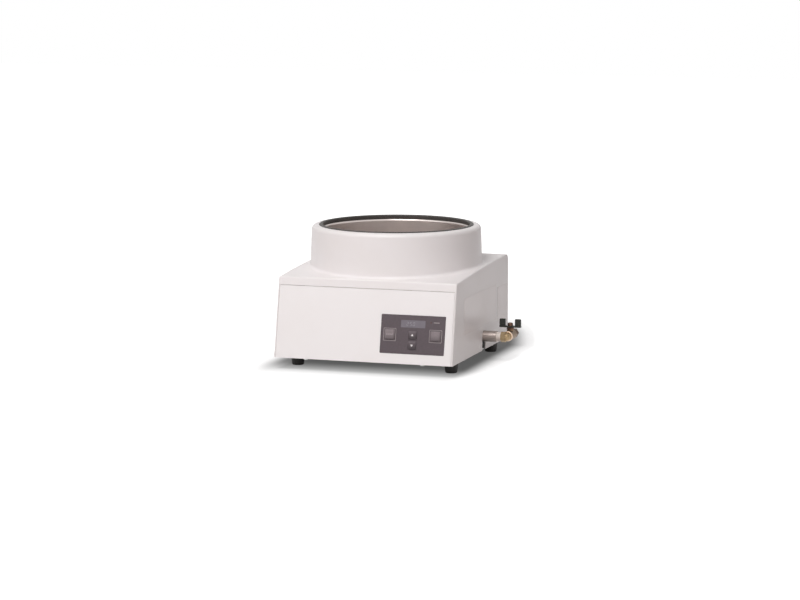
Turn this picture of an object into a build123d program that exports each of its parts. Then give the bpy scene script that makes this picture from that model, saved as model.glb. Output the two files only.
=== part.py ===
from build123d import *
import os
from math import cos, radians, sin, tan

os.makedirs("parts", exist_ok=True)

# A laboratory water bath: a low case with a leaning front, a round bath in a tall collar on its top
# and a drain valve on its right side. The origin is the middle of the case's footprint on the
# table. X runs to the right, towards the valve, Y to the back and Z up. Lengths are in millimetres.

# Case
case_width = 300.0
foot_height = 20.0
seam_rise = 115.0            # from the case's bottom edge to the seam under the cover's lip
lip_rise = 13.0              # from the seam to the front top corner
top_rise = 13.0              # from the front top corner to the line of the top at the back
top_crown = 2.5              # how far the top bulges over that line
lean_angle = 11.5            # degrees that the front leans back
cover_wall = 3.0
cover_side_radius = 2.5
cover_front_radius = 3.0
cover_back_radius = 10.0
sheet = 1.6                  # thickness of the folded sheet pieces
seam_gap = 0.6
fit_gap = 0.3                # gap round a piece that drops into another
screw_gap = 0.25             # radial clearance of a screw in a plate
bore_gap = 0.05              # radial clearance of a shaft or spigot in its bore
overrun = 4.0                # how far a cut runs past what it cuts

# Bath and collar
collar_side_margin = 8.5     # from the collar's foot to the case's sides
collar_front_margin = 34.5   # to the case's front bottom edge
collar_back_margin = 2.5     # to its back
collar_draft = 3.0           # how much the collar narrows towards its top
shoulder_round = 7.0
collar_fillet = 5.0
shoulder_width = 11.9        # from the collar's shoulder in to the gasket
gasket_width = 6.0
gasket_height = 6.5
gasket_proud = 1.5
gasket_round = 1.8
vessel_flange = 7.1
vessel_depth = 113.5
floor_rise = 81.5            # from the case's bottom edge to the vessel's floor
vessel_wall = 1.0
vessel_corner_radius = 15.0
vessel_rim_radius = 2.2
throat_gap = 1.7             # round the vessel, inside the collar's ledge
insulation_thickness = 10.0
insulation_margin = 16.0     # bare height of the vessel below the insulation
insulation_top_margin = 12.0 # and above it

# Drain
drain_rise = 22.8            # pipe's axis above the case's bottom edge
pipe_radius = 8.9
pipe_bore_radius = 5.0
pipe_reach = 22.4            # how far the pipe stands out of the case's side
notch_gap = 0.5
notch_edge = 1.2             # what is left of the cover's wall round the notch
notch_relief = 4.0           # width of the thinned band round it
socket_wall = 3.2
socket_depth = 12.0
socket_leg = 21.0            # from the corner of the inner elbow to its ends
riser_seat = 2.0             # from the vessel's floor down to the riser's end
spigot_radius = 6.3
spigot_depth = 5.0           # how far the pipe's end goes into the valve's elbow
sleeve_radius = 7.5
sleeve_length = 7.2
elbow_leg = 8.0              # from the valve's elbow's corner to the sleeve
elbow_radius = 6.8
elbow_neck_radius = 5.4
elbow_gap = 0.4              # between the elbow's hexagon and the valve's body
elbow_hex = 14.8             # across the flats
elbow_hex_length = 8.0
elbow_hex_turn = 30.0        # puts a flat to the front
valve_radius = 8.2
valve_edge = 0.8
valve_stem_step = 24.8       # from the elbow's corner back to the valve's stem
valve_length = 27.0
valve_cavity_radius = 6.6
outlet_hex = 14.0
outlet_hex_length = 14.0
outlet_bore_radius = 5.0
outlet_bore_depth = 7.0
ball_radius = 6.2
ball_bore_radius = 4.2
seat_reach = 7.4             # from the ball's centre to a seat ring's far face
seat_lap = 3.8               # and to its near face
tower_radius = 5.4
tower_height = 9.6           # above the valve's axis
gland_hex = 10.5
gland_height = 2.9
stem_radius = 2.5
tang_width = 2.0
tang_depth = 1.6
handle_gap = 0.2             # between the gland nut and the handle
handle_span = 36.0
handle_width = 8.0
handle_bar = 2.4
wing_length = 10.0
wing_height = 13.6
wing_thickness = 3.0
wing_round = 1.2
handle_nut_radius = 4.4
handle_nut_height = 5.2
handle_nut_round = 2.2
handle_nut_wall = 1.5

# Control panel, placed on the leaning front by its middle
panel_side_margin = 15.25    # from its right edge to the case's side
panel_slant = 47.0           # up the slope from the case's bottom edge
panel_width = 106.5
panel_height = 61.7
panel_thickness = 3.0
panel_proud = 0.4
panel_lap = 4.0              # how far its rear flange laps behind the front panel
panel_round = 1.2
window_gap = 0.2
key_side_margin = 7.0        # from a large key to the panel's side
key_row = -1.0
large_key = 16.5
small_key = 13.5
small_key_pitch = 16.0
key_gap = 0.3
key_proud = 2.0
key_bevel = 2.0
key_bevel_rise = 1.4
key_round = 1.6
key_top_round = 0.6
key_flange = 1.0             # how far a key's flange laps behind the panel
key_flange_thickness = 1.2
key_travel = 0.8
key_stem_radius = 2.6
key_stem_bare = 2.7          # length of a key's stem in front of its switch
key_stem_grip = 2.1          # and inside it
switch_size = 11.0
switch_height = 4.2
display_side_margin = 33.0   # from the window's end to the panel's side
display_height = 11.6
display_top_margin = 8.05    # from the window to the panel's top edge
display_ledge = 1.5
window_thickness = 1.5
module_gap = 0.3
indicator_step = 9.25        # from the window's end to the lamp's middle
indicator_top_margin = 10.35
indicator_radius = 1.6
indicator_cap_radius = 2.2
board_margin = 6.0           # how far the board's edge stays inside the panel's edge
board_thickness = 1.6
board_boss_radius = 2.8
board_boss_inset = 5.0

# Inside the case
bridge_width = 24.0
bridge_gap = 4.0             # from a bridge to what lies beside it
bridge_span_margin = 8.5     # from a bridge's legs to the edge of the vessel's flat floor
bridge_foot = 12.0
bridge_bend = 3.0
heater_share = 0.727         # of the radius of the vessel's flat floor
heater_bore_radius = 20.0
heater_thickness = 8.0
heater_tube_radius = 3.25
heater_ring_share = 0.46
heater_ring_angle = 320.0    # degrees
heater_bend = 5.0
heater_drop = 18.0
clamp_shares = (0.345, 0.67)
clamp_thickness = 2.0
stud_circle_share = 0.593
stud_count = 3
stud_angle = 60.0            # degrees
stud_radius = 2.5
stud_spare = 2.5             # stud length below its nut
nut_flats = 8.0
nut_height = 4.0
probe_radius = 2.5
probe_length = 44.0
probe_tip_round = 1.2
probe_share = 0.842
clip_thickness = 1.0
clip_width = 14.0
clip_wing = 6.0
clamp_gap = 1.8
cutout_radius = 8.0
cutout_height = 9.0
cutout_share = 0.861
cutout_tab = 6.0
cutout_tab_thickness = 1.5
power_board_share = 0.632    # of the width between the bridges
power_board_depth = 64.0
power_board_margin = 36.0    # to the case's back
spacer_radius = 3.0
spacer_height = 8.0
spacer_inset = 5.0
block_height_shares = (0.5, 1.0, 0.7)
block_spacing_share = 0.3    # of the board's length
block_height = 16.0
block_size = 15.0
sink_gap = 5.0               # from the power board
sink_length = 62.0
sink_base = 4.0
sink_fin = 2.5
sink_height = 22.0
relay_gap = 1.0              # from the heat sink's sides
relay_length = 56.0
relay_height = 18.0
core_share = 0.29            # of the width between the bridges
core_depth = 26.0
core_height = 40.0
core_side_margin = 2.0
core_front_margin = 82.0     # from the case's front bottom edge to the core's middle
core_leg_share = 0.32        # of the core's width
core_window_shares = (0.18, 0.64)
coil_wrap = 7.0
coil_gap = 0.3
terminal_size = (56.0, 18.0, 15.0)
terminal_front_margin = 56.0
terminal_count = 5
terminal_slot = 6.5
terminal_wall = 2.5
inlet_side_margin = 46.0
inlet_rise = 44.0
inlet_flange = (50.0, 28.0)
inlet_flange_thickness = 2.5
inlet_body = (28.0, 21.0)
inlet_cavity = (24.5, 17.5)
inlet_depth = 20.0
inlet_floor = 3.0
inlet_round = 3.0
inlet_corner = 2.0
inlet_screw_spread = 40.0
pin_size = (2.0, 4.0)
pin_length = 14.0
pin_spread = 7.0
pin_drop = 3.4
pin_tail = 5.0

# Fasteners, feet and folds
foot_side_inset = 20.0
foot_front_inset = 60.0
foot_back_inset = 36.0
foot_top_radius = 12.0
foot_bottom_radius = 9.6
foot_recess_radius = 5.2
foot_recess_depth = 9.0
foot_edge = 1.0
screw_radius = 2.0
screw_head_radius = 3.8
screw_head_height = 3.0
screw_length = 9.0
screw_spare = 2.0            # length of a screw past what it holds
head_round_share = 0.4       # of a head's height, rounded off
small_screw_radius = 1.4
small_screw_head_radius = 2.6
small_screw_head_height = 1.8
small_screw_length = 5.0
base_screw_side_inset = 52.0
base_screw_inset = 9.0       # from the front and back edges of the case
boss_radius = 4.5
boss_height = 14.0
boss_sink = 1.0              # how far a boss runs into the wall beside it
boss_inset = 80.0            # from the front and back of the case
fold_depth = 18.0
side_fold_depth = 10.0
side_fold_margin = 12.0
tongue_width = 30.0
tongue_spread_share = 0.6    # of the case's width
tongue_height = 6.0
tongue_root = 10.0
lug_width = 16.0
lug_drop = 12.0
lug_thickness = 4.4
vent_length = 40.0
vent_width = 4.0
vent_pitch = 12.0
vent_count = 6
vent_row_y = 4.0             # from the bath's axis to the nearer ends of the base plate's vents
vent_side_inset = 80.0       # the back panel's vents
vent_rise = 56.0
lead_radius = 1.5
lead_step = 8.0              # from the element's ends down to the leads' runs
lead_bend = 4.0
cable_radius = 2.5
cable_drop = 15.0            # from the board's middle down to the cable
cable_step = 15.0            # from the board back to the cable's run across the case
cable_shift = 5.0            # from the power board's middle
cable_inset = 7.0            # from its front edge

# Heights, planes and places worked out from the sizes above
collar_base_radius = case_width / 2 - collar_side_margin
collar_shoulder_radius = collar_base_radius - collar_draft
gasket_outer_radius = collar_shoulder_radius - shoulder_width
vessel_bore_radius = gasket_outer_radius - vessel_flange
floor_radius = vessel_bore_radius - vessel_corner_radius  # of the vessel's flat floor
case_depth = 2 * collar_base_radius + collar_front_margin + collar_back_margin
bath_y = case_depth / 2 - collar_back_margin - collar_base_radius
case_bottom = foot_height
seam_z = case_bottom + seam_rise
corner_z = seam_z + lip_rise
back_z = corner_z + top_rise
front_y = -case_depth / 2
back_y = case_depth / 2
inner_x = case_width / 2 - cover_wall
lean_cos = cos(radians(lean_angle))
lean_sin = sin(radians(lean_angle))
lean_slope = tan(radians(lean_angle))
base_top = case_bottom + sheet
floor_z = case_bottom + floor_rise                        # underside of the vessel's floor
rim_z = floor_z + vessel_wall + vessel_depth              # top of the vessel's flange
collar_top = rim_z + gasket_height - gasket_proud
ledge_z = rim_z - vessel_wall                             # collar's ledge under the flange
vessel_outer_radius = vessel_bore_radius + vessel_wall
drain_z = case_bottom + drain_rise
elbow_x = case_width / 2 + pipe_reach + sleeve_length + elbow_leg
stem_y = bath_y + valve_stem_step
heater_radius = floor_radius * heater_share
heater_ring_radius = floor_radius * heater_ring_share
clamp_inner_radius = floor_radius * clamp_shares[0]
clamp_outer_radius = floor_radius * clamp_shares[1]
stud_circle_radius = floor_radius * stud_circle_share
bridge_x = heater_radius + bridge_gap + bridge_width / 2
bridge_half_span = floor_radius - bridge_span_margin
heater_bottom = floor_z - heater_thickness
clamp_top = heater_bottom - 2 * heater_tube_radius
clamp_bottom = clamp_top - clamp_thickness
boss_bottom = floor_z - riser_seat - socket_depth
throat_radius = vessel_outer_radius + throat_gap
panel_half = inner_x - fit_gap
panel_x = case_width / 2 - panel_side_margin - panel_width / 2
handle_level = tower_height + gland_height + handle_gap   # underside of the handle's bar over the axis
heater_end_angle = radians(heater_ring_angle)
element_ends = [
    (heater_ring_radius, -heater_bend),
    (
        heater_ring_radius * cos(heater_end_angle) - heater_bend * sin(heater_end_angle),
        heater_ring_radius * sin(heater_end_angle) + heater_bend * cos(heater_end_angle),
    ),
]
socket_radius = pipe_radius + socket_wall
riser_bottom = drain_z + socket_leg - socket_depth
sleeve_x = case_width / 2 + pipe_reach
inner_elbow_end = socket_leg - socket_depth               # seat of the pipe in the inner elbow
outlet_leg = elbow_hex / 2 + elbow_gap                     # from the elbow's corner to the valve's body
elbow_spigot = valve_stem_step - seat_reach - outlet_leg
outlet_step = outlet_leg + valve_length                   # from the elbow's corner to the valve's end piece
key_across = panel_width / 2 - key_side_margin - large_key / 2
display_width = panel_width - 2 * display_side_margin
display_rise = panel_height / 2 - display_top_margin - display_height / 2
indicator_x = display_width / 2 + indicator_step
indicator_rise = panel_height / 2 - indicator_top_margin
board_boss_spread = (
    panel_width - 2 * (board_margin + board_boss_inset),
    panel_height - 2 * (board_margin + board_boss_inset),
)
large_key_places = [(-key_across, key_row), (key_across, key_row)]
small_key_places = [(0, key_row), (0, key_row - small_key_pitch)]
tray_width = 2 * (bridge_x - bridge_width / 2 - bridge_gap)  # between the bridges
power_board_size = (tray_width * power_board_share, power_board_depth)
power_board_place = (
    (power_board_size[0] - tray_width) / 2, back_y - power_board_margin - power_board_depth / 2
)
spacer_spread = (power_board_size[0] - 2 * spacer_inset, power_board_size[1] - 2 * spacer_inset)
sink_width = tray_width - power_board_size[0] - sink_gap
sink_place = ((tray_width - sink_width) / 2, power_board_place[1])
relay_width = sink_width - 2 * (sink_fin + relay_gap)
core_width = tray_width * core_share
core_place = ((core_width - tray_width) / 2 + core_side_margin, front_y + core_front_margin)
core_leg = core_width * core_leg_share
core_window = core_width * core_window_shares[0]
core_window_height = core_height * core_window_shares[1]
terminal_pitch = (terminal_size[0] - terminal_wall) / terminal_count
terminal_place = (element_ends[1][0] - terminal_pitch, front_y + terminal_front_margin)
inlet_place = (case_width / 2 - inlet_side_margin, inlet_rise)  # as seen from behind
pin_places = [
    (inlet_place[0] + x, inlet_place[1] + y)
    for x, y in ((0, pin_drop), (-pin_spread, -pin_drop), (pin_spread, -pin_drop))
]
panel_top = seam_z - seam_gap
fold_top = base_top + sheet
tongue_depth = cover_wall + fit_gap
panel_back = panel_thickness - panel_proud                # depth of the control panel's rear face
key_back = panel_back + key_flange_thickness
switch_face = key_back + key_stem_bare
board_face = switch_face + switch_height
board_back = board_face + board_thickness


def front_at(height, depth=0.0):
    # Y of the leaning front at a height, or of a plane that lies behind it by depth
    return front_y + (height - case_bottom) * lean_slope + depth / lean_cos


face_plane = Plane(origin=(0, front_y, case_bottom), x_dir=(1, 0, 0), z_dir=(0, -lean_cos, lean_sin))
panel_plane = Plane(
    origin=face_plane.from_local_coords((panel_x, panel_slant, 0)),
    x_dir=(1, 0, 0),
    z_dir=(0, -lean_cos, lean_sin),
)
bath_plane = Plane(origin=(0, bath_y, 0), x_dir=(1, 0, 0), z_dir=(0, -1, 0))
bath_level = Plane(origin=(0, bath_y, 0), x_dir=(1, 0, 0), z_dir=(0, 0, 1))
bath_axis = Axis((0, bath_y, 0), (0, 0, 1))
pipe_plane = Plane(origin=(0, bath_y, drain_z), x_dir=(0, 1, 0), z_dir=(1, 0, 0))
outlet_plane = Plane(origin=(elbow_x, bath_y, drain_z), x_dir=(-1, 0, 0), z_dir=(0, 1, 0))
wing_plane = Plane(
    origin=(elbow_x, stem_y, drain_z + handle_level), x_dir=(1, 0, 0), z_dir=(0, -1, 0)
)
stem_plane = Plane(origin=(elbow_x, stem_y, drain_z), x_dir=(1, 0, 0), z_dir=(0, 0, 1))
back_plane = Plane(origin=(0, back_y, case_bottom), x_dir=(-1, 0, 0), z_dir=(0, 1, 0))

foot_places = [
    (side * (case_width / 2 - foot_side_inset), y)
    for y in (front_y + foot_front_inset, back_y - foot_back_inset)
    for side in (-1, 1)
]
base_screw_x = case_width / 2 - base_screw_side_inset
fold_screw_places = [
    (side * base_screw_x, end * (case_depth / 2 - base_screw_inset)) for end in (-1, 1) for side in (-1, 1)
]
boss_x = inner_x - boss_radius + boss_sink
boss_places = [(side * boss_x, end * (case_depth / 2 - boss_inset)) for end in (-1, 1) for side in (-1, 1)]
tongue_start = (case_width * tongue_spread_share - tongue_width) / 2
lug_screw_places = [(side * base_screw_x, seam_rise - seam_gap - lug_drop / 2) for side in (-1, 1)]

lead_top = heater_bottom - heater_tube_radius - heater_drop
lead_level = lead_top - lead_step
lead_drops = [
    (element_ends[0][0], sink_place[1], base_top + sink_base + relay_height),
    (element_ends[1][0], terminal_place[1], base_top + terminal_size[2] / 2),
]
inlet_screw_places = [
    (inlet_place[0] + side * inlet_screw_spread / 2, inlet_place[1]) for side in (-1, 1)
]

cable_start = panel_plane.from_local_coords((0, -cable_drop, -board_back - cable_radius * lean_slope))
cable_x = power_board_place[0] + cable_shift
cable_end_y = power_board_place[1] - power_board_depth / 2 + cable_inset
front_edge_y = front_at(base_top, sheet) + fit_gap        # base plate's front edge
back_edge_y = back_y - sheet - fit_gap


def save(part, name):
    part.label = name
    export_step(part, "parts/" + name + ".step")


# Cover: the top, the collar, both sides and the short lips at front and back are one moulding.
with BuildSketch(Plane.YZ) as case_side:
    with BuildLine():
        face_line = Line((front_y, case_bottom), (front_at(corner_z), corner_z))
        chord_middle = ((face_line @ 1).X + back_y) / 2
        Line((back_y, case_bottom), face_line @ 0)
        back_line = Line((back_y, case_bottom), (back_y, back_z))
        ThreePointArc(face_line @ 1, (chord_middle, (corner_z + back_z) / 2 + top_crown), back_line @ 1)
    make_face()
    fillet(case_side.vertices().sort_by(Axis.Y)[-2], radius=cover_front_radius)
    fillet(case_side.vertices().sort_by(Axis.Y)[-1], radius=cover_back_radius)

with BuildSketch(Plane.YZ) as case_hollow:
    add(case_side.sketch_local)
    offset(amount=-cover_wall)

with BuildPart() as housing_cover:
    extrude(case_side.sketch, amount=case_width / 2, both=True)
    side_edges = housing_cover.faces().filter_by(Axis.X).edges()
    fillet(
        side_edges.filter_by(Axis.Y, reverse=True).filter_by(Axis.Z, reverse=True),
        radius=cover_side_radius,
    )
    with BuildSketch(bath_plane):
        with BuildLine():
            Polyline(
                (0, seam_z),
                (collar_base_radius, seam_z),
                (collar_shoulder_radius, collar_top),
                (0, collar_top),
                close=True,
            )
        make_face()
    revolve(axis=bath_axis)
    collar_wall = housing_cover.faces().filter_by(GeomType.CONE).sort_by(SortBy.AREA)[-1]
    fillet(collar_wall.edges().filter_by(GeomType.BSPLINE), radius=collar_fillet)
    fillet(housing_cover.edges().group_by(Axis.Z)[-1], radius=shoulder_round)
    extrude(case_hollow.sketch, amount=inner_x, both=True, mode=Mode.SUBTRACT)
    with BuildSketch(Plane.XY.offset(case_bottom - overrun)):
        Rectangle(2 * inner_x, case_depth + 2 * overrun)
    extrude(amount=seam_rise + overrun, mode=Mode.SUBTRACT)
    with BuildSketch(bath_plane):
        with BuildLine():
            Polyline(
                (0, seam_z),
                (collar_base_radius - cover_wall, seam_z),
                (collar_shoulder_radius - cover_wall, ledge_z - cover_wall),
                (throat_radius, ledge_z - cover_wall),
                (throat_radius, ledge_z),
                (gasket_outer_radius + fit_gap, ledge_z),
                (gasket_outer_radius + fit_gap, collar_top + overrun),
                (0, collar_top + overrun),
                close=True,
            )
        make_face()
    revolve(axis=bath_axis, mode=Mode.SUBTRACT)
    with BuildSketch(pipe_plane.offset(inner_x - overrun)):
        Circle(pipe_radius + notch_gap)
        with Locations((0, -(drain_rise + overrun) / 2)):
            Rectangle(2 * (pipe_radius + notch_gap), drain_rise + overrun)
    extrude(amount=cover_wall + 2 * overrun, mode=Mode.SUBTRACT)
    with BuildSketch(pipe_plane.offset(inner_x - overrun)):
        Circle(pipe_radius + notch_gap + notch_relief)
        with Locations((0, -(drain_rise + overrun) / 2)):
            Rectangle(2 * (pipe_radius + notch_gap + notch_relief), drain_rise + overrun)
    extrude(amount=cover_wall - notch_edge + overrun, mode=Mode.SUBTRACT)
    with BuildSketch(Plane.XY.offset(base_top)):
        with Locations(*boss_places):
            Circle(boss_radius)
    extrude(amount=boss_height)
    with BuildSketch(Plane.XY.offset(base_top)):
        with Locations(*boss_places):
            Circle(screw_radius + bore_gap)
    extrude(amount=boss_height - cover_wall, mode=Mode.SUBTRACT)
    with BuildSketch(back_plane.offset(-sheet)):
        with Locations(*lug_screw_places):
            Rectangle(lug_width, lug_drop)
            with Locations((0, lug_drop)):
                Rectangle(lug_width, lug_drop)
    extrude(amount=-lug_thickness)
    with BuildSketch(back_plane):
        with Locations(*lug_screw_places):
            Circle(screw_radius + bore_gap)
    extrude(amount=-(sheet + lug_thickness + overrun), mode=Mode.SUBTRACT)
save(housing_cover.part, "housing_cover")


# Front panel: a leaning sheet with a fold over the base plate, side folds and two tongues behind the lip
with BuildPart() as front_panel:
    with BuildSketch(Plane.YZ):
        with BuildLine():
            Polyline(
                (front_at(case_bottom), case_bottom),
                (front_at(panel_top), panel_top),
                (front_at(panel_top, sheet), panel_top),
                (front_at(fold_top, sheet), fold_top),
                (front_at(fold_top, sheet) + fold_depth, fold_top),
                (front_at(fold_top, sheet) + fold_depth, base_top),
                (front_at(base_top, sheet), base_top),
                (front_at(case_bottom, sheet), case_bottom),
                close=True,
            )
        make_face()
    extrude(amount=panel_half, both=True)
    with BuildSketch(Plane.YZ.offset(panel_half - sheet)):
        with BuildLine():
            Polyline(
                (front_at(fold_top + side_fold_margin, sheet / 2), fold_top + side_fold_margin),
                (front_at(panel_top - side_fold_margin, sheet / 2), panel_top - side_fold_margin),
                (front_at(panel_top - side_fold_margin, side_fold_depth), panel_top - side_fold_margin),
                (front_at(fold_top + side_fold_margin, side_fold_depth), fold_top + side_fold_margin),
                close=True,
            )
        make_face()
    side_fold = extrude(amount=sheet)
    mirror(side_fold, about=Plane.YZ)
    with BuildSketch(Plane.YZ.offset(tongue_start)):
        with BuildLine():
            Polyline(
                (front_at(panel_top - tongue_root, sheet / 2), panel_top - tongue_root),
                (front_at(panel_top - seam_gap, sheet / 2), panel_top - seam_gap),
                (front_at(panel_top - seam_gap, tongue_depth), panel_top - seam_gap),
                (front_at(panel_top + tongue_height, tongue_depth), panel_top + tongue_height),
                (front_at(panel_top + tongue_height, tongue_depth + sheet), panel_top + tongue_height),
                (front_at(panel_top - tongue_root, tongue_depth + sheet), panel_top - tongue_root),
                close=True,
            )
        make_face()
    tongue = extrude(amount=tongue_width)
    mirror(tongue, about=Plane.YZ)
    with BuildSketch(panel_plane.offset(overrun)):
        RectangleRounded(
            panel_width + 2 * window_gap, panel_height + 2 * window_gap, panel_round + window_gap
        )
    extrude(amount=-(sheet + 2 * overrun), mode=Mode.SUBTRACT)
    with BuildSketch(Plane.XY.offset(base_top)):
        with Locations(*fold_screw_places):
            Circle(screw_radius + bore_gap)
    extrude(amount=sheet, mode=Mode.SUBTRACT)
save(front_panel.part, "front_panel")


# Back panel: a flat sheet with a fold over the base plate, cut for the mains inlet and the vents
with BuildPart() as back_panel:
    with BuildSketch(Plane.YZ):
        with BuildLine():
            Polyline(
                (back_y, case_bottom),
                (back_y, panel_top),
                (back_y - sheet, panel_top),
                (back_y - sheet, fold_top),
                (back_y - sheet - fold_depth, fold_top),
                (back_y - sheet - fold_depth, base_top),
                (back_y - sheet, base_top),
                (back_y - sheet, case_bottom),
                close=True,
            )
        make_face()
    extrude(amount=panel_half, both=True)
    with BuildSketch(back_plane.offset(overrun)):
        with Locations(*lug_screw_places):
            Circle(screw_radius + screw_gap)
        with Locations(inlet_place):
            RectangleRounded(
                inlet_body[0] + 2 * fit_gap, inlet_body[1] + 2 * fit_gap, inlet_corner + fit_gap
            )
        with Locations(*inlet_screw_places):
            Circle(small_screw_radius + bore_gap)
        with Locations((vent_side_inset - case_width / 2, vent_rise)):
            with GridLocations(vent_pitch, 0, vent_count, 1):
                SlotOverall(vent_length, vent_width, rotation=90)
    extrude(amount=-(sheet + 2 * overrun), mode=Mode.SUBTRACT)
    with BuildSketch(Plane.XY.offset(base_top)):
        with Locations(*fold_screw_places):
            Circle(screw_radius + bore_gap)
    extrude(amount=sheet, mode=Mode.SUBTRACT)
save(back_panel.part, "back_panel")


# Base plate with holes for the feet, the panels and the cover, and two rows of vents
with BuildPart() as base_plate:
    with BuildSketch(Plane.XY.offset(case_bottom)):
        with Locations((0, (front_edge_y + back_edge_y) / 2)):
            Rectangle(2 * panel_half, back_edge_y - front_edge_y)
        with Locations(*foot_places, *fold_screw_places, *boss_places):
            Circle(screw_radius + screw_gap, mode=Mode.SUBTRACT)
        with Locations((0, bath_y + vent_row_y), (0, bath_y - vent_row_y - vent_length)):
            with GridLocations(vent_pitch, 0, vent_count, 1):
                SlotOverall(vent_length, vent_width, rotation=90, mode=Mode.SUBTRACT)
    extrude(amount=sheet)
save(base_plate.part, "base_plate")


# Feet: tapered rubber bumpers, each with a screw in a recess
def foot(name, place):
    foot_plane = Plane(origin=(place[0], place[1], 0), x_dir=(1, 0, 0), z_dir=(0, -1, 0))
    with BuildPart() as bumper:
        with BuildSketch(foot_plane):
            with BuildLine():
                Polyline(
                    (foot_recess_radius, 0),
                    (foot_bottom_radius - foot_edge, 0),
                    (foot_bottom_radius, foot_edge),
                    (foot_top_radius, foot_height - foot_edge),
                    (foot_top_radius - foot_edge, foot_height),
                    (screw_radius + screw_gap, foot_height),
                    (screw_radius + screw_gap, foot_recess_depth),
                    (foot_recess_radius, foot_recess_depth),
                    close=True,
                )
            make_face()
        revolve(axis=Axis((place[0], place[1], 0), (0, 0, 1)))
    save(bumper.part, name)


foot_names = ("front_left_foot", "front_right_foot", "rear_left_foot", "rear_right_foot")
for foot_name, foot_place in zip(foot_names, foot_places):
    foot(foot_name, foot_place)


# Pan-head screws: the heads stand on the outer side of a plane, the shanks run behind it
def screws(name, plane, places, radius, head_radius, head_height, length):
    with BuildPart() as group:
        with BuildSketch(plane):
            with Locations(*places):
                Circle(head_radius)
        extrude(amount=head_height)
        crowns = [
            edge for edge in group.edges() if plane.to_local_coords(edge.center()).Z > head_height / 2
        ]
        fillet(crowns, radius=head_height * head_round_share)
        with BuildSketch(plane):
            with Locations(*places):
                Circle(radius)
        extrude(amount=-length)
    save(group.part, name)


underside = Plane(origin=(0, 0, case_bottom), x_dir=(1, 0, 0), z_dir=(0, 0, -1))
recess_plane = Plane(origin=(0, 0, foot_recess_depth), x_dir=(1, 0, 0), z_dir=(0, 0, -1))
screws(
    "foot_screws",
    recess_plane,
    [(x, -y) for x, y in foot_places],
    screw_radius,
    screw_head_radius,
    screw_head_height,
    foot_height - foot_recess_depth + sheet + screw_spare,
)
screws(
    "case_screws",
    underside,
    [(x, -y) for x, y in fold_screw_places + boss_places],
    screw_radius,
    screw_head_radius,
    screw_head_height,
    screw_length,
)
screws(
    "back_screws",
    back_plane,
    lug_screw_places,
    screw_radius,
    screw_head_radius,
    screw_head_height,
    sheet + lug_thickness + screw_spare,
)


# Bath: a thin deep vessel with a flange on the collar's ledge, a drain boss and three studs
with BuildPart() as bath_vessel:
    with BuildSketch(bath_plane):
        with BuildLine():
            FilletPolyline(
                (pipe_bore_radius, floor_z + vessel_wall / 2),
                (vessel_bore_radius + vessel_wall / 2, floor_z + vessel_wall / 2),
                (vessel_bore_radius + vessel_wall / 2, rim_z - vessel_wall / 2),
                (gasket_outer_radius, rim_z - vessel_wall / 2),
                radius=[vessel_corner_radius + vessel_wall / 2, vessel_rim_radius + vessel_wall / 2],
            )
        trace(line_width=vessel_wall)
        with BuildLine():
            Polyline(
                (pipe_bore_radius, floor_z),
                (pipe_radius + socket_wall, floor_z),
                (pipe_radius + socket_wall, boss_bottom),
                (pipe_radius + bore_gap, boss_bottom),
                (pipe_radius + bore_gap, floor_z - riser_seat),
                (pipe_bore_radius, floor_z - riser_seat),
                close=True,
            )
        make_face()
    revolve(axis=bath_axis)
    with BuildSketch(bath_level.offset(floor_z)):
        with PolarLocations(stud_circle_radius, stud_count, start_angle=stud_angle):
            Circle(stud_radius)
    extrude(amount=-(floor_z - clamp_bottom + nut_height + stud_spare))
save(bath_vessel.part, "bath_vessel")

with BuildPart() as rim_gasket:
    with BuildSketch(bath_plane) as gasket_section:
        with Locations((gasket_outer_radius - gasket_width / 2, rim_z + gasket_height / 2)):
            Rectangle(gasket_width, gasket_height)
        fillet(gasket_section.vertices().group_by(Axis.Y)[-1], radius=gasket_round)
    revolve(axis=bath_axis)
save(rim_gasket.part, "rim_gasket")

with BuildPart() as vessel_insulation:
    with BuildSketch(bath_level.offset(floor_z + insulation_margin)):
        Circle(vessel_outer_radius + insulation_thickness + fit_gap)
        Circle(vessel_outer_radius + fit_gap, mode=Mode.SUBTRACT)
    extrude(amount=vessel_depth - insulation_margin - insulation_top_margin)
save(vessel_insulation.part, "vessel_insulation")


# Bridges: two folded straps that stand on the base plate and carry the vessel's floor
def bridge(name, side):
    with BuildPart() as strap:
        with BuildSketch(Plane.YZ.offset(side * bridge_x - bridge_width / 2)):
            with BuildLine():
                FilletPolyline(
                    (bath_y - bridge_half_span - bridge_foot, base_top + sheet / 2),
                    (bath_y - bridge_half_span, base_top + sheet / 2),
                    (bath_y - bridge_half_span, floor_z - sheet / 2),
                    (bath_y + bridge_half_span, floor_z - sheet / 2),
                    (bath_y + bridge_half_span, base_top + sheet / 2),
                    (bath_y + bridge_half_span + bridge_foot, base_top + sheet / 2),
                    radius=bridge_bend,
                )
            trace(line_width=sheet)
        extrude(amount=bridge_width)
    save(strap.part, name)


bridge("left_vessel_bridge", -1)
bridge("right_vessel_bridge", 1)


# Heater: a cast plate under the vessel's floor, a ring element and a clamp ring on the studs
with BuildPart() as heater_plate:
    with BuildSketch(bath_level.offset(floor_z)):
        Circle(heater_radius)
        Circle(heater_bore_radius, mode=Mode.SUBTRACT)
        with PolarLocations(stud_circle_radius, stud_count, start_angle=stud_angle):
            Circle(stud_radius + screw_gap, mode=Mode.SUBTRACT)
    extrude(amount=-heater_thickness)
save(heater_plate.part, "heater_plate")

with BuildLine(bath_level.offset(heater_bottom - heater_tube_radius)) as element_ring:
    CenterArc((0, 0), heater_ring_radius, 0, heater_ring_angle)

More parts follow.
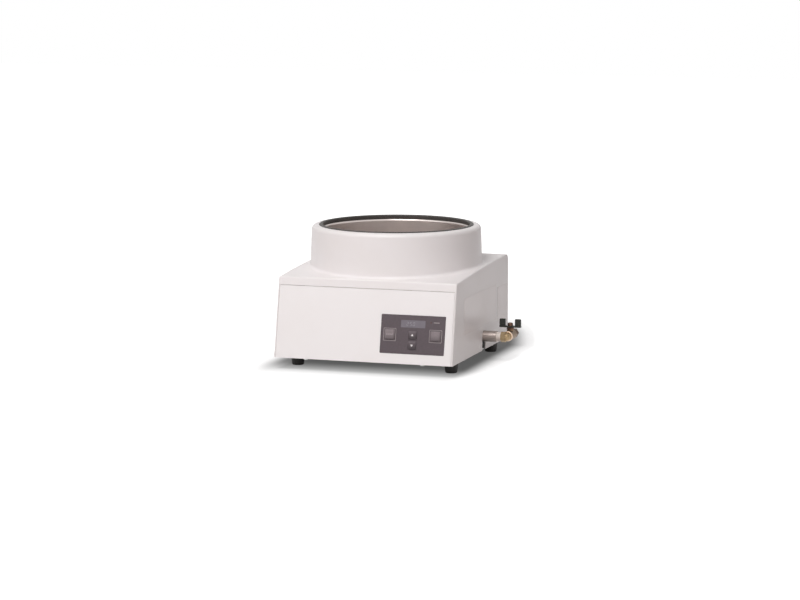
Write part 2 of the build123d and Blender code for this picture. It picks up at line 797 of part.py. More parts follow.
with BuildPart() as heater_element:
    with BuildLine() as element_path:
        add(element_ring.line)
        ring_tangent = element_ring.line % 1
        first_bend = TangentArc(
            element_ring.line @ 0 - Vector(0, heater_bend, heater_bend), element_ring.line @ 0, tangent=(0, 0, 1)
        )
        last_bend = TangentArc(
            element_ring.line @ 1,
            element_ring.line @ 1 + ring_tangent * heater_bend - Vector(0, 0, heater_bend),
            tangent=ring_tangent,
        )
        first_leg = Line(first_bend @ 0 - Vector(0, 0, heater_drop - heater_bend), first_bend @ 0)
        Line(last_bend @ 1, last_bend @ 1 - Vector(0, 0, heater_drop - heater_bend))
    with BuildSketch(Plane(origin=first_leg @ 0, z_dir=(0, 0, 1))):
        Circle(heater_tube_radius)
    sweep(path=element_path.wires()[0])
save(heater_element.part, "heater_element")

with BuildPart() as heater_clamp:
    with BuildSketch(bath_level.offset(clamp_top)):
        Circle(clamp_outer_radius)
        Circle(clamp_inner_radius, mode=Mode.SUBTRACT)
        with PolarLocations(stud_circle_radius, stud_count, start_angle=stud_angle):
            Circle(stud_radius + screw_gap, mode=Mode.SUBTRACT)
        with Locations(*element_ends):
            Circle(heater_tube_radius + clamp_gap, mode=Mode.SUBTRACT)
    extrude(amount=-clamp_thickness)
save(heater_clamp.part, "heater_clamp")

with BuildPart() as clamp_nuts:
    with BuildSketch(bath_level.offset(clamp_bottom)):
        with PolarLocations(stud_circle_radius, stud_count, start_angle=stud_angle):
            RegularPolygon(nut_flats / 2, 6, major_radius=False)
            Circle(stud_radius + bore_gap, mode=Mode.SUBTRACT)
    extrude(amount=-nut_height)
save(clamp_nuts.part, "clamp_nuts")


# Temperature probe under the floor, its saddle clip, and the overheat cut-out
probe_plane = Plane(
    origin=(-probe_length / 2, bath_y + floor_radius * probe_share, floor_z - probe_radius),
    x_dir=(0, 1, 0),
    z_dir=(1, 0, 0),
)

with BuildPart() as temperature_probe:
    with BuildSketch(probe_plane):
        Circle(probe_radius)
    extrude(amount=probe_length)
    fillet(temperature_probe.edges().filter_by(GeomType.CIRCLE).sort_by(Axis.X)[0], radius=probe_tip_round)
save(temperature_probe.part, "temperature_probe")

with BuildPart() as probe_clip:
    with BuildSketch(probe_plane.offset((probe_length - clip_width) / 2)):
        Circle(probe_radius + bore_gap + clip_thickness)
        Rectangle(
            2 * (probe_radius + bore_gap + clip_thickness),
            probe_radius,
            align=(Align.CENTER, Align.MIN),
        )
        with Locations((0, probe_radius - clip_thickness / 2)):
            Rectangle(2 * (probe_radius + bore_gap + clip_thickness + clip_wing), clip_thickness)
        Circle(probe_radius + bore_gap, mode=Mode.SUBTRACT)
        with Locations((0, probe_radius)):
            Rectangle(
                2 * (probe_radius + bore_gap),
                probe_radius,
                align=(Align.CENTER, Align.MAX),
                mode=Mode.SUBTRACT,
            )
        with Locations((0, probe_radius)):
            Rectangle(
                2 * (probe_radius + clip_thickness + clip_wing + bore_gap),
                2 * clip_thickness,
                align=(Align.CENTER, Align.MIN),
                mode=Mode.SUBTRACT,
            )
    extrude(amount=clip_width)
save(probe_clip.part, "probe_clip")

with BuildPart() as overheat_cutout:
    with BuildSketch(bath_level.offset(floor_z)):
        with Locations((0, -floor_radius * cutout_share)):
            Circle(cutout_radius)
    extrude(amount=-cutout_height)
    with BuildSketch(bath_level.offset(floor_z - cutout_height)):
        with Locations((0, -floor_radius * cutout_share)):
            with GridLocations(cutout_radius, 0, 2, 1):
                Rectangle(cutout_tab, cutout_tab_thickness)
    extrude(amount=-cutout_tab)
save(overheat_cutout.part, "overheat_cutout")


# Control panel: a moulded plate in the front panel's window, with a lap and four bosses behind it
with BuildPart() as control_panel:
    with BuildSketch(panel_plane.offset(panel_proud)):
        RectangleRounded(panel_width, panel_height, panel_round)
    extrude(amount=-panel_thickness)
    with BuildSketch(panel_plane.offset(-sheet)):
        RectangleRounded(panel_width + 2 * panel_lap, panel_height + 2 * panel_lap, panel_round + panel_lap)
    extrude(amount=sheet - panel_back)
    with BuildSketch(panel_plane.offset(-panel_back)):
        with GridLocations(*board_boss_spread, 2, 2):
            Circle(board_boss_radius)
    extrude(amount=panel_back - board_face)
    with BuildSketch(panel_plane.offset(panel_proud + overrun)):
        with Locations(*large_key_places):
            RectangleRounded(large_key + 2 * key_gap, large_key + 2 * key_gap, key_round + key_gap)
        with Locations(*small_key_places):
            RectangleRounded(small_key + 2 * key_gap, small_key + 2 * key_gap, key_round + key_gap)
        with Locations((0, display_rise)):
            Rectangle(display_width - 2 * display_ledge, display_height - 2 * display_ledge)
        with Locations((indicator_x, indicator_rise)):
            Circle(indicator_radius + bore_gap)
    extrude(amount=-(panel_thickness + 2 * overrun), mode=Mode.SUBTRACT)
    with BuildSketch(panel_plane.offset(panel_proud)):
        with Locations((0, display_rise)):
            RectangleRounded(
                display_width + 2 * bore_gap, display_height + 2 * bore_gap, panel_round + bore_gap
            )
    extrude(amount=-window_thickness, mode=Mode.SUBTRACT)
    with BuildSketch(panel_plane.offset(-board_face)):
        with GridLocations(*board_boss_spread, 2, 2):
            Circle(small_screw_radius + bore_gap)
    extrude(amount=small_screw_length, mode=Mode.SUBTRACT)
save(control_panel.part, "control_panel")

with BuildPart() as display_window:
    with BuildSketch(panel_plane.offset(panel_proud)):
        with Locations((0, display_rise)):
            RectangleRounded(display_width, display_height, panel_round)
    extrude(amount=-window_thickness)
save(display_window.part, "display_window")

with BuildPart() as display_module:
    with BuildSketch(panel_plane.offset(panel_proud - window_thickness - module_gap)):
        with Locations((0, display_rise)):
            Rectangle(
                display_width - 2 * (display_ledge + module_gap),
                display_height - 2 * (display_ledge + module_gap),
            )
    extrude(amount=window_thickness + module_gap - panel_proud - board_face)
save(display_module.part, "display_module")

with BuildPart() as indicator_light:
    with BuildSketch(panel_plane.offset(panel_proud)):
        with Locations((indicator_x, indicator_rise)):
            Circle(indicator_radius)
    extrude(amount=-(panel_proud + board_face))
    with BuildSketch(panel_plane.offset(-(panel_back + module_gap))):
        with Locations((indicator_x, indicator_rise)):
            Circle(indicator_cap_radius)
    extrude(amount=panel_back + module_gap - board_face)
save(indicator_light.part, "indicator_light")

with BuildPart() as control_board:
    with BuildSketch(panel_plane.offset(-board_face)):
        Rectangle(panel_width - 2 * board_margin, panel_height - 2 * board_margin)
        with GridLocations(*board_boss_spread, 2, 2):
            Circle(small_screw_radius + screw_gap, mode=Mode.SUBTRACT)
    extrude(amount=-board_thickness)
save(control_board.part, "control_board")

board_behind = Plane(
    origin=panel_plane.from_local_coords((0, 0, -board_back)),
    x_dir=(-1, 0, 0),
    z_dir=(0, lean_cos, -lean_sin),
)
screws(
    "board_screws",
    board_behind,
    [(x * board_boss_spread[0] / 2, y * board_boss_spread[1] / 2) for x in (-1, 1) for y in (-1, 1)],
    small_screw_radius,
    small_screw_head_radius,
    small_screw_head_height,
    small_screw_length,
)


# Keys: a bevelled cap with a flange behind the panel and a stem in the switch behind it
def key(name, place, size):
    with BuildPart() as cap:
        with BuildSketch(panel_plane.offset(-panel_back)):
            with Locations(place):
                RectangleRounded(size, size, key_round)
        extrude(amount=panel_thickness + key_proud - key_bevel_rise)
        with BuildSketch(panel_plane.offset(panel_proud + key_proud - key_bevel_rise)):
            with Locations(place):
                RectangleRounded(size, size, key_round)
        with BuildSketch(panel_plane.offset(panel_proud + key_proud)):
            with Locations(place):
                RectangleRounded(size - 2 * key_bevel, size - 2 * key_bevel, key_top_round)
        loft()
        with BuildSketch(panel_plane.offset(-panel_back)):
            with Locations(place):
                RectangleRounded(size + 2 * key_flange, size + 2 * key_flange, key_round)
        extrude(amount=-key_flange_thickness)
        with BuildSketch(panel_plane.offset(-key_back)):
            with Locations(place):
                Circle(key_stem_radius)
        extrude(amount=-(key_stem_bare + key_stem_grip))
    save(cap.part, name)


key("left_key", large_key_places[0], large_key)
key("right_key", large_key_places[1], large_key)
key("up_key", small_key_places[0], small_key)
key("down_key", small_key_places[1], small_key)

with BuildPart() as key_switches:
    with BuildSketch(panel_plane.offset(-switch_face)):
        with Locations(*large_key_places, *small_key_places):
            Rectangle(switch_size, switch_size)
    extrude(amount=-switch_height)
    with BuildSketch(panel_plane.offset(-switch_face)):
        with Locations(*large_key_places, *small_key_places):
            Circle(key_stem_radius + bore_gap)
    extrude(amount=-(key_stem_grip + key_travel + fit_gap), mode=Mode.SUBTRACT)
save(key_switches.part, "key_switches")


# Power electronics on the base plate
with BuildPart() as board_spacers:
    with BuildSketch(Plane.XY.offset(base_top)):
        with Locations(power_board_place):
            with GridLocations(*spacer_spread, 2, 2):
                Circle(spacer_radius)
    extrude(amount=spacer_height)
save(board_spacers.part, "board_spacers")

with BuildPart() as power_board:
    with BuildSketch(Plane.XY.offset(base_top + spacer_height)):
        with Locations(power_board_place):
            Rectangle(*power_board_size)
    extrude(amount=board_thickness)
    for index, share in enumerate(block_height_shares):
        block_x = power_board_place[0] + (index - 1) * power_board_size[0] * block_spacing_share
        with BuildSketch(Plane.XY.offset(base_top + spacer_height + board_thickness)):
            with Locations((block_x, power_board_place[1])):
                Rectangle(block_size, block_size)
        extrude(amount=block_height * share)
save(power_board.part, "power_board")

sink_plane = Plane(
    origin=(sink_place[0], sink_place[1] - sink_length / 2, base_top), x_dir=(-1, 0, 0), z_dir=(0, 1, 0)
)
with BuildPart() as relay_heat_sink:
    with BuildSketch(sink_plane):
        Rectangle(sink_width, sink_height, align=(Align.CENTER, Align.MIN))
        with Locations((0, sink_base)):
            Rectangle(
                sink_width - 2 * sink_fin, sink_height, align=(Align.CENTER, Align.MIN), mode=Mode.SUBTRACT
            )
    extrude(amount=sink_length)
save(relay_heat_sink.part, "relay_heat_sink")

with BuildPart() as solid_state_relay:
    with BuildSketch(Plane.XY.offset(base_top + sink_base)):
        with Locations(sink_place):
            RectangleRounded(relay_width, relay_length, panel_round)
    extrude(amount=relay_height)
save(solid_state_relay.part, "solid_state_relay")

core_plane = Plane(
    origin=(core_place[0], core_place[1], base_top + core_height / 2), x_dir=(1, 0, 0), z_dir=(0, -1, 0)
)
with BuildPart() as transformer_core:
    with BuildSketch(core_plane):
        Rectangle(core_width, core_height)
        with GridLocations(core_leg + core_window, 0, 2, 1):
            Rectangle(core_window, core_window_height, mode=Mode.SUBTRACT)
    extrude(amount=core_depth / 2, both=True)
save(transformer_core.part, "transformer_core")

with BuildPart() as transformer_coil:
    with BuildSketch(Plane.XY.offset(base_top + (core_height - core_window_height) / 2 + coil_gap)):
        with Locations(core_place):
            Rectangle(core_leg + 2 * (core_window - coil_gap), core_depth + 2 * coil_wrap)
            Rectangle(core_leg + 2 * coil_gap, core_depth + 2 * coil_gap, mode=Mode.SUBTRACT)
    extrude(amount=core_window_height - 2 * coil_gap)
save(transformer_coil.part, "transformer_coil")

with BuildPart() as terminal_block:
    with BuildSketch(Plane.XY.offset(base_top)):
        with Locations(terminal_place):
            Rectangle(terminal_size[0], terminal_size[1])
    extrude(amount=terminal_size[2])
    with BuildSketch(Plane.XY.offset(base_top + terminal_size[2])):
        with Locations(terminal_place):
            with GridLocations(terminal_pitch, 0, terminal_count, 1):
                Rectangle(terminal_slot, terminal_size[1] - 2 * terminal_wall)
    extrude(amount=-terminal_size[2] / 2, mode=Mode.SUBTRACT)
save(terminal_block.part, "terminal_block")


# Mains inlet: an open socket with three blades
with BuildPart() as mains_inlet:
    with BuildSketch(back_plane):
        with Locations(inlet_place):
            RectangleRounded(*inlet_flange, inlet_round)
        with Locations(*inlet_screw_places):
            Circle(small_screw_radius + screw_gap, mode=Mode.SUBTRACT)
    extrude(amount=inlet_flange_thickness)
    with BuildSketch(back_plane):
        with Locations(inlet_place):
            RectangleRounded(*inlet_body, inlet_corner)
    extrude(amount=-inlet_depth)
    with BuildSketch(back_plane.offset(inlet_flange_thickness)):
        with Locations(inlet_place):
            RectangleRounded(*inlet_cavity, inlet_corner)
    extrude(amount=-(inlet_flange_thickness + inlet_depth - inlet_floor), mode=Mode.SUBTRACT)
    with BuildSketch(back_plane.offset(-inlet_depth)):
        with Locations(*pin_places):
            Rectangle(*pin_size)
    extrude(amount=inlet_floor, mode=Mode.SUBTRACT)
save(mains_inlet.part, "mains_inlet")

with BuildPart() as inlet_pins:
    with BuildSketch(back_plane.offset(inlet_floor - inlet_depth + pin_length)):
        with Locations(*pin_places):
            Rectangle(*pin_size)
    extrude(amount=-(pin_length + inlet_floor + pin_tail))
save(inlet_pins.part, "inlet_pins")

screws(
    "inlet_screws",
    back_plane.offset(inlet_flange_thickness),
    inlet_screw_places,
    small_screw_radius,
    small_screw_head_radius,
    small_screw_head_height,
    inlet_flange_thickness + sheet + screw_spare,
)


# Drain: riser, elbow and pipe from the vessel's boss to the right side
with BuildPart() as drain_riser:
    with BuildSketch(bath_level.offset(riser_bottom)):
        Circle(pipe_radius)
        Circle(pipe_bore_radius, mode=Mode.SUBTRACT)
    extrude(amount=floor_z - riser_seat - riser_bottom)
save(drain_riser.part, "drain_riser")

with BuildPart() as drain_elbow:
    with BuildSketch(bath_level.offset(drain_z)):
        Circle(socket_radius)
    extrude(amount=socket_leg)
    with BuildSketch(pipe_plane):
        Circle(socket_radius)
    extrude(amount=socket_leg)
    with Locations((0, bath_y, drain_z)):
        Sphere(socket_radius)
    with BuildSketch(bath_level.offset(drain_z)):
        Circle(pipe_bore_radius)
    extrude(amount=socket_leg, mode=Mode.SUBTRACT)
    with BuildSketch(pipe_plane):
        Circle(pipe_bore_radius)
    extrude(amount=socket_leg, mode=Mode.SUBTRACT)
    with Locations((0, bath_y, drain_z)):
        Sphere(pipe_bore_radius, mode=Mode.SUBTRACT)
    with BuildSketch(bath_level.offset(drain_z + socket_leg - socket_depth)):
        Circle(pipe_radius + bore_gap)
    extrude(amount=socket_depth, mode=Mode.SUBTRACT)
    with BuildSketch(pipe_plane.offset(inner_elbow_end)):
        Circle(pipe_radius + bore_gap)
    extrude(amount=socket_depth, mode=Mode.SUBTRACT)
save(drain_elbow.part, "drain_elbow")

with BuildPart() as drain_pipe:
    with BuildSketch(pipe_plane.offset(inner_elbow_end)):
        Circle(pipe_radius)
    extrude(amount=sleeve_x - inner_elbow_end)
    with BuildSketch(pipe_plane.offset(sleeve_x)):
        Circle(spigot_radius)
    extrude(amount=sleeve_length + spigot_depth)
    with BuildSketch(pipe_plane.offset(inner_elbow_end)):
        Circle(pipe_bore_radius)
    extrude(amount=sleeve_x + sleeve_length + spigot_depth - inner_elbow_end, mode=Mode.SUBTRACT)
save(drain_pipe.part, "drain_pipe")

with BuildPart() as drain_sleeve:
    with BuildSketch(pipe_plane.offset(sleeve_x)):
        Circle(sleeve_radius)
        Circle(spigot_radius + bore_gap, mode=Mode.SUBTRACT)
    extrude(amount=sleeve_length)
save(drain_sleeve.part, "drain_sleeve")


# Valve: a brass elbow that turns to the back, the ball valve's body and its screwed outlet end
with BuildPart() as valve_elbow:
    with BuildSketch(pipe_plane.offset(sleeve_x + sleeve_length)):
        RegularPolygon(elbow_hex / 2, 6, major_radius=False, rotation=elbow_hex_turn)
    extrude(amount=elbow_hex_length)
    with BuildSketch(pipe_plane.offset(sleeve_x + sleeve_length)):
        Circle(elbow_radius)
    extrude(amount=elbow_leg)
    with Locations((elbow_x, bath_y, drain_z)):
        Sphere(elbow_radius)
    with BuildSketch(outlet_plane):
        Circle(elbow_neck_radius)
    extrude(amount=outlet_leg)
    with BuildSketch(outlet_plane.offset(outlet_leg)):
        Circle(spigot_radius)
    extrude(amount=elbow_spigot)
    with BuildSketch(pipe_plane.offset(sleeve_x + sleeve_length)):
        Circle(ball_bore_radius)
    extrude(amount=elbow_leg, mode=Mode.SUBTRACT)
    with BuildSketch(outlet_plane):
        Circle(ball_bore_radius)
    extrude(amount=outlet_leg + elbow_spigot, mode=Mode.SUBTRACT)
    with Locations((elbow_x, bath_y, drain_z)):
        Sphere(ball_bore_radius, mode=Mode.SUBTRACT)
    with BuildSketch(pipe_plane.offset(sleeve_x + sleeve_length)):
        Circle(spigot_radius + bore_gap)
    extrude(amount=spigot_depth, mode=Mode.SUBTRACT)
save(valve_elbow.part, "valve_elbow")

with BuildPart() as valve_body:
    with BuildSketch(outlet_plane.offset(outlet_leg)):
        Circle(valve_radius)
    extrude(amount=valve_length)
    chamfer(valve_body.edges().filter_by(GeomType.CIRCLE), valve_edge)
    with BuildSketch(stem_plane):
        Circle(tower_radius)
    extrude(amount=tower_height)
    with BuildSketch(outlet_plane.offset(outlet_leg)):
        Circle(spigot_radius + bore_gap)
    extrude(amount=elbow_spigot, mode=Mode.SUBTRACT)
    with BuildSketch(outlet_plane.offset(outlet_leg + elbow_spigot)):
        Circle(valve_cavity_radius)
    extrude(amount=valve_length - elbow_spigot, mode=Mode.SUBTRACT)
    with BuildSketch(stem_plane):
        Circle(stem_radius + bore_gap)
    extrude(amount=tower_height, mode=Mode.SUBTRACT)
save(valve_body.part, "valve_body")

with BuildPart() as valve_end:
    with BuildSketch(outlet_plane.offset(outlet_step)):
        RegularPolygon(outlet_hex / 2, 6, major_radius=False)
    extrude(amount=outlet_hex_length)
    with BuildSketch(outlet_plane.offset(outlet_step)):
        Circle(valve_cavity_radius - bore_gap)
    extrude(amount=valve_stem_step + seat_reach - outlet_step)
    with BuildSketch(outlet_plane.offset(valve_stem_step + seat_reach)):
        Circle(ball_bore_radius)
    extrude(amount=outlet_step - valve_stem_step - seat_reach + outlet_hex_length, mode=Mode.SUBTRACT)
    with BuildSketch(outlet_plane.offset(outlet_step + outlet_hex_length)):
        Circle(outlet_bore_radius)
    extrude(amount=-outlet_bore_depth, mode=Mode.SUBTRACT)
save(valve_end.part, "valve_end")

with BuildPart() as valve_ball:
    with Locations((elbow_x, stem_y, drain_z)):
        Sphere(ball_radius)
    with BuildSketch(pipe_plane.offset(elbow_x)):
        with Locations((valve_stem_step, 0)):
            Circle(ball_bore_radius)
    extrude(amount=ball_radius + overrun, both=True, mode=Mode.SUBTRACT)
    with BuildSketch(stem_plane.offset(ball_radius - tang_depth)):
        Rectangle(tang_width + 2 * bore_gap, 2 * ball_radius)
    extrude(amount=tang_depth + overrun, mode=Mode.SUBTRACT)
save(valve_ball.part, "valve_ball")

with BuildPart() as valve_seats:
    with BuildSketch(outlet_plane.offset(valve_stem_step - seat_reach)):
        Circle(valve_cavity_radius - bore_gap)
    extrude(amount=seat_reach - seat_lap)
    with BuildSketch(outlet_plane.offset(valve_stem_step + seat_lap)):
        Circle(valve_cavity_radius - bore_gap)
    extrude(amount=seat_reach - seat_lap)
    with BuildSketch(outlet_plane.offset(valve_stem_step)):
        Circle(ball_bore_radius)
    extrude(amount=seat_reach + overrun, both=True, mode=Mode.SUBTRACT)
    with Locations((elbow_x, stem_y, drain_z)):
        Sphere(ball_radius + bore_gap, mode=Mode.SUBTRACT)
save(valve_seats.part, "valve_seats")

with BuildPart() as gland_nut:
    with BuildSketch(stem_plane.offset(tower_height)):
        RegularPolygon(gland_hex / 2, 6, major_radius=False)
        Circle(stem_radius + bore_gap, mode=Mode.SUBTRACT)
    extrude(amount=gland_height)
save(gland_nut.part, "gland_nut")


# Handle: a bar with a wing at each end, held on the stem by a domed nut
with BuildPart() as valve_stem:
    with BuildSketch(stem_plane.offset(ball_radius + fit_gap)):
        Circle(stem_radius)
    extrude(amount=handle_level + handle_bar + handle_nut_height - handle_nut_wall - ball_radius - fit_gap)
    with BuildSketch(stem_plane.offset(ball_radius + fit_gap)):
        Rectangle(tang_width, 2 * stem_radius)
        Circle(stem_radius, mode=Mode.INTERSECT)
    extrude(amount=-tang_depth)
save(valve_stem.part, "valve_stem")

with BuildPart() as valve_handle:
    with BuildSketch(stem_plane.offset(handle_level)):
        RectangleRounded(handle_span, handle_width, wing_round)
        Circle(stem_radius + bore_gap, mode=Mode.SUBTRACT)
    extrude(amount=handle_bar)
    with BuildSketch(wing_plane):
        with GridLocations(handle_span - wing_length, 0, 2, 1):
            with Locations((0, wing_height / 2)):
                RectangleRounded(wing_length, wing_height, wing_round)
    extrude(amount=wing_thickness / 2, both=True)
save(valve_handle.part, "valve_handle")

with BuildPart() as handle_nut:
    with BuildSketch(stem_plane.offset(handle_level + handle_bar)):
        Circle(handle_nut_radius)
    extrude(amount=handle_nut_height)
    fillet(handle_nut.edges().group_by(Axis.Z)[-1], radius=handle_nut_round)
    with BuildSketch(stem_plane.offset(handle_level + handle_bar)):
        Circle(stem_radius + bore_gap)
    extrude(amount=handle_nut_height - handle_nut_wall, mode=Mode.SUBTRACT)
save(handle_nut.part, "handle_nut")


# Wiring: insulated leads and a cable with rounded turns
def wire(path, radius):
    with BuildLine() as run:
        FilletPolyline(*path, radius=lead_bend)
    with BuildSketch(Plane(origin=run.line @ 0, z_dir=run.line % 0)) as section:
        Circle(radius)
    sweep(section.sketch, path=run.line)


with BuildPart() as heater_leads:
    for (end_x, end_y), (drop_x, drop_y, drop_z) in zip(element_ends, lead_drops):
        wire(
            [
                (end_x, bath_y + end_y, lead_top),
                (end_x, bath_y + end_y, lead_level),
                (drop_x, drop_y, lead_level),
                (drop_x, drop_y, drop_z),
            ],
            lead_radius,
        )
save(heater_leads.part, "heater_leads")

with BuildPart() as panel_cable:
    wire(
        [
            (panel_x, cable_start.Y, cable_start.Z),
            (panel_x, cable_start.Y + cable_step, cable_start.Z),
            (cable_x, cable_start.Y + cable_step, cable_start.Z),
            (cable_x, cable_end_y, cable_start.Z),
            (cable_x, cable_end_y, base_top + spacer_height + board_thickness),
        ],
        cable_radius,
    )
save(panel_cable.part, "panel_cable")
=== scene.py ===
import math

import bpy
import bmesh
from mathutils import Matrix, Vector


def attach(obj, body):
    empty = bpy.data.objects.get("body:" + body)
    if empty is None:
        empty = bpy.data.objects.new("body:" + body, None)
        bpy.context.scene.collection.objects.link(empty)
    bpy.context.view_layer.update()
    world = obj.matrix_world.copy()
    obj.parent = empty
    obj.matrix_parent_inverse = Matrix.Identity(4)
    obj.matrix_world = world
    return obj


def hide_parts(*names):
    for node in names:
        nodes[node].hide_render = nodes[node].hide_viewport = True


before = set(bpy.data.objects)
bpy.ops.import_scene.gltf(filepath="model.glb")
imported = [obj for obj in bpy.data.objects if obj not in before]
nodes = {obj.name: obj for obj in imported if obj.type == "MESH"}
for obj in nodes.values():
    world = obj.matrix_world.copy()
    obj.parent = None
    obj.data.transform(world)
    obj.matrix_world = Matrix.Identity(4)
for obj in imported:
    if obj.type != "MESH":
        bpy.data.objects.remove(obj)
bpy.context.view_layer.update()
mm = 0.001
print("frame loaded:", len(nodes), "nodes")


# Shader maths: a socket that takes part in Python expressions

class Level:
    def __init__(self, web, out):
        self.web = web
        self.out = out

    def maths(self, operation, *others, clamp=False):
        values = dict(enumerate((self, *others)))
        return self.web.node("ShaderNodeMath", {"operation": operation, "use_clamp": clamp}, values)[0]

    def __add__(self, other):
        return self.maths("ADD", other)

    def __sub__(self, other):
        return self.maths("SUBTRACT", other)

    def __mul__(self, other):
        return self.maths("MULTIPLY", other)

    def __truediv__(self, other):
        return self.maths("DIVIDE", other)

    def __pow__(self, other):
        return self.maths("POWER", other)


class Outputs:
    def __init__(self, web, made):
        self.web = web
        self.made = made

    def __getitem__(self, key):
        return Level(self.web, self.made.outputs[key])


class Web:
    # a node tree; any node comes from one method
    def __init__(self, tree):
        self.tree = tree

    def node(self, kind, settings=None, values=None):
        made = self.tree.nodes.new(kind)
        for label, value in (settings or {}).items():
            setattr(made, label, value)
        for label, value in (values or {}).items():
            if isinstance(value, Level):
                self.tree.links.new(value.out, made.inputs[label])
            else:
                made.inputs[label].default_value = value
        return Outputs(self, made)

    def directRays(self):
        # 1 for the camera, for reflections and through clear pieces, 0 for the light that fills the scene
        rays = self.node("ShaderNodeLightPath")
        direct = rays["Is Camera Ray"] + rays["Is Glossy Ray"]
        return direct.maths("ADD", rays["Is Transmission Ray"], clamp=True)


class Finish(Web):
    # one material with its own Principled shader
    def __init__(self, name, look, **fixed):
        self.material = bpy.data.materials.new(name)
        self.material.use_nodes = True
        Web.__init__(self, self.material.node_tree)
        self.shader = self.tree.nodes["Principled BSDF"]
        self.color = look["color"]
        self.roughness = look["roughness"]
        self.shader.inputs["Base Color"].default_value = (*self.color, 1.0)
        self.shader.inputs["Roughness"].default_value = self.roughness
        for label, value in fixed.items():
            self.shader.inputs[label.replace("_", " ")].default_value = value
        self.material.diffuse_color = (*self.color, 1.0)

    def link(self, label, level):
        self.tree.links.new(level.out, self.shader.inputs[label])

    def place(self, stretch=(1.0, 1.0, 1.0)):
        # object coordinates, drawn out along an axis where its stretch is not 1
        at = self.node("ShaderNodeTexCoord")["Object"]
        values = {"Vector": at, "Scale": tuple(1.0 / s for s in stretch)}
        return self.node("ShaderNodeMapping", {"vector_type": "TEXTURE"}, values)[0]

    def noise(self, where, scale, detail=3.0, rough=0.5):
        values = {"Vector": where, "Scale": scale, "Detail": detail, "Roughness": rough}
        return self.node("ShaderNodeTexNoise", None, values)["Fac"]

    def mix(self, amount, first, second):
        # sockets 6 and 7 of a Mix node are its two colours, and output 2 is the mixed one
        values = {0: amount, 6: shadeOf(first), 7: shadeOf(second)}
        return self.node("ShaderNodeMix", {"data_type": "RGBA"}, values)[2]

    def between(self, level, low, high, outLow=0.0, outHigh=1.0):
        values = {0: level, 1: low, 2: high, 3: outLow, 4: outHigh}
        return self.node("ShaderNodeMapRange", {"clamp": True}, values)[0]

    def shaded(self, level, terms):
        # the finish's colour, darker where the level is low and lighter where it is high
        return self.mix(level, tint(self.color, terms["darker"]), tint(self.color, terms["lighter"]))

    def uneven(self, level, terms):
        # the roughness wanders with the level from a smoother end to a duller one
        ends = (self.roughness - terms["smoother"], self.roughness + terms["duller"])
        self.link("Roughness", self.between(level, *terms["dullEnds"], *ends))

    def raised(self, height, depth, strength=1.0):
        values = {"Height": height, "Distance": depth, "Strength": strength}
        self.link("Normal", self.node("ShaderNodeBump", None, values)["Normal"])


def shadeOf(value):
    if isinstance(value, Level):
        return value
    return (*value, 1.0)


def tint(color, factor):
    return tuple(min(1.0, c * factor) for c in color)


def fromScreen(red, green, blue):
    # a colour read off a screen, taken through the screen's own curve to what a shader wants
    shade = []
    for value in (red, green, blue):
        v = value / 255.0
        shade.append(v / 12.92 if v <= 0.04045 else ((v + 0.055) / 1.055) ** 2.4)
    return tuple(shade)


# Kinds of finish, each with its shares and limits beside it

paintTerms = {
    "worn": (0.42, 0.72), "grainStep": 3.1, "grainDull": 0.4, "grainRise": 0.35,
    "dullEnds": (0.4, 1.0), "smoother": 0.05, "duller": 0.07,
}


def mouldedPaint(name, look):
    # satin off-white skin with a fine orange peel and a trace of handling
    finish = Finish(name, look)
    where = finish.place()
    cloud = finish.noise(where, look["cloudScale"], detail=4.0, rough=0.6)
    peel = finish.noise(where, look["peelScale"], detail=2.0)
    grain = finish.noise(where, look["peelScale"] * paintTerms["grainStep"], detail=2.0, rough=0.6)
    worn = finish.between(cloud, *paintTerms["worn"]) * look["wornShare"]
    finish.link("Base Color", finish.mix(worn, look["color"], look["wornColor"]))
    finish.uneven(cloud + grain * paintTerms["grainDull"], paintTerms)
    finish.raised(peel + grain * paintTerms["grainRise"], look["peelDepth"])
    return finish.material


plasticTerms = {
    "softStep": 0.12, "softEnds": (0.35, 0.7), "darker": 0.93, "lighter": 1.07,
    "cellDull": 0.3, "dullEnds": (0.3, 1.0), "smoother": 0.06, "duller": 0.08,
}


def grainedPlastic(name, look):
    # moulded plastic with a spark-eroded grain
    finish = Finish(name, look)
    where = finish.place()
    cells = finish.node(
        "ShaderNodeTexVoronoi", {"feature": "SMOOTH_F1"}, {"Vector": where, "Scale": look["grainScale"]}
    )["Distance"]
    soft = finish.noise(where, look["grainScale"] * plasticTerms["softStep"])
    color = finish.shaded(finish.between(soft, *plasticTerms["softEnds"]), plasticTerms)
    if "lowColor" in look:
        # painted shade: each key is painted darker towards its lower edge, where its face and lower bevel
        # fall in shade under light from above
        height = finish.node("ShaderNodeSeparateXYZ", None, {0: where})[2]
        row = ((height - look["lowFrom"]) / look["rowStep"]).maths("FRACT")
        color = finish.mix(finish.between(row, *look["lowEnds"]), look["lowColor"], color)
    finish.link("Base Color", color)
    finish.uneven(soft + cells * plasticTerms["cellDull"], plasticTerms)
    finish.raised(cells, look["grainDepth"])
    return finish.material


rubberTerms = {"dustEnds": (0.5, 0.8), "dullEnds": (0.3, 0.8), "smoother": 0.08, "duller": 0.1}


def softRubber(name, look):
    finish = Finish(name, look)
    where = finish.place()
    dust = finish.noise(where, look["dustScale"], detail=5.0, rough=0.65)
    fine = finish.noise(where, look["fineScale"], detail=2.0)
    dusty = finish.between(dust, *rubberTerms["dustEnds"]) * look["dustShare"]
    finish.link("Base Color", finish.mix(dusty, look["color"], look["dustColor"]))
    finish.uneven(dust, rubberTerms)
    finish.raised(fine, look["fineDepth"])
    return finish.material


brushTerms = {
    "darker": 0.86, "lighter": 1.1, "cloudDull": 0.6, "dullEnds": (0.4, 1.2), "smoother": 0.07, "duller": 0.1,
}


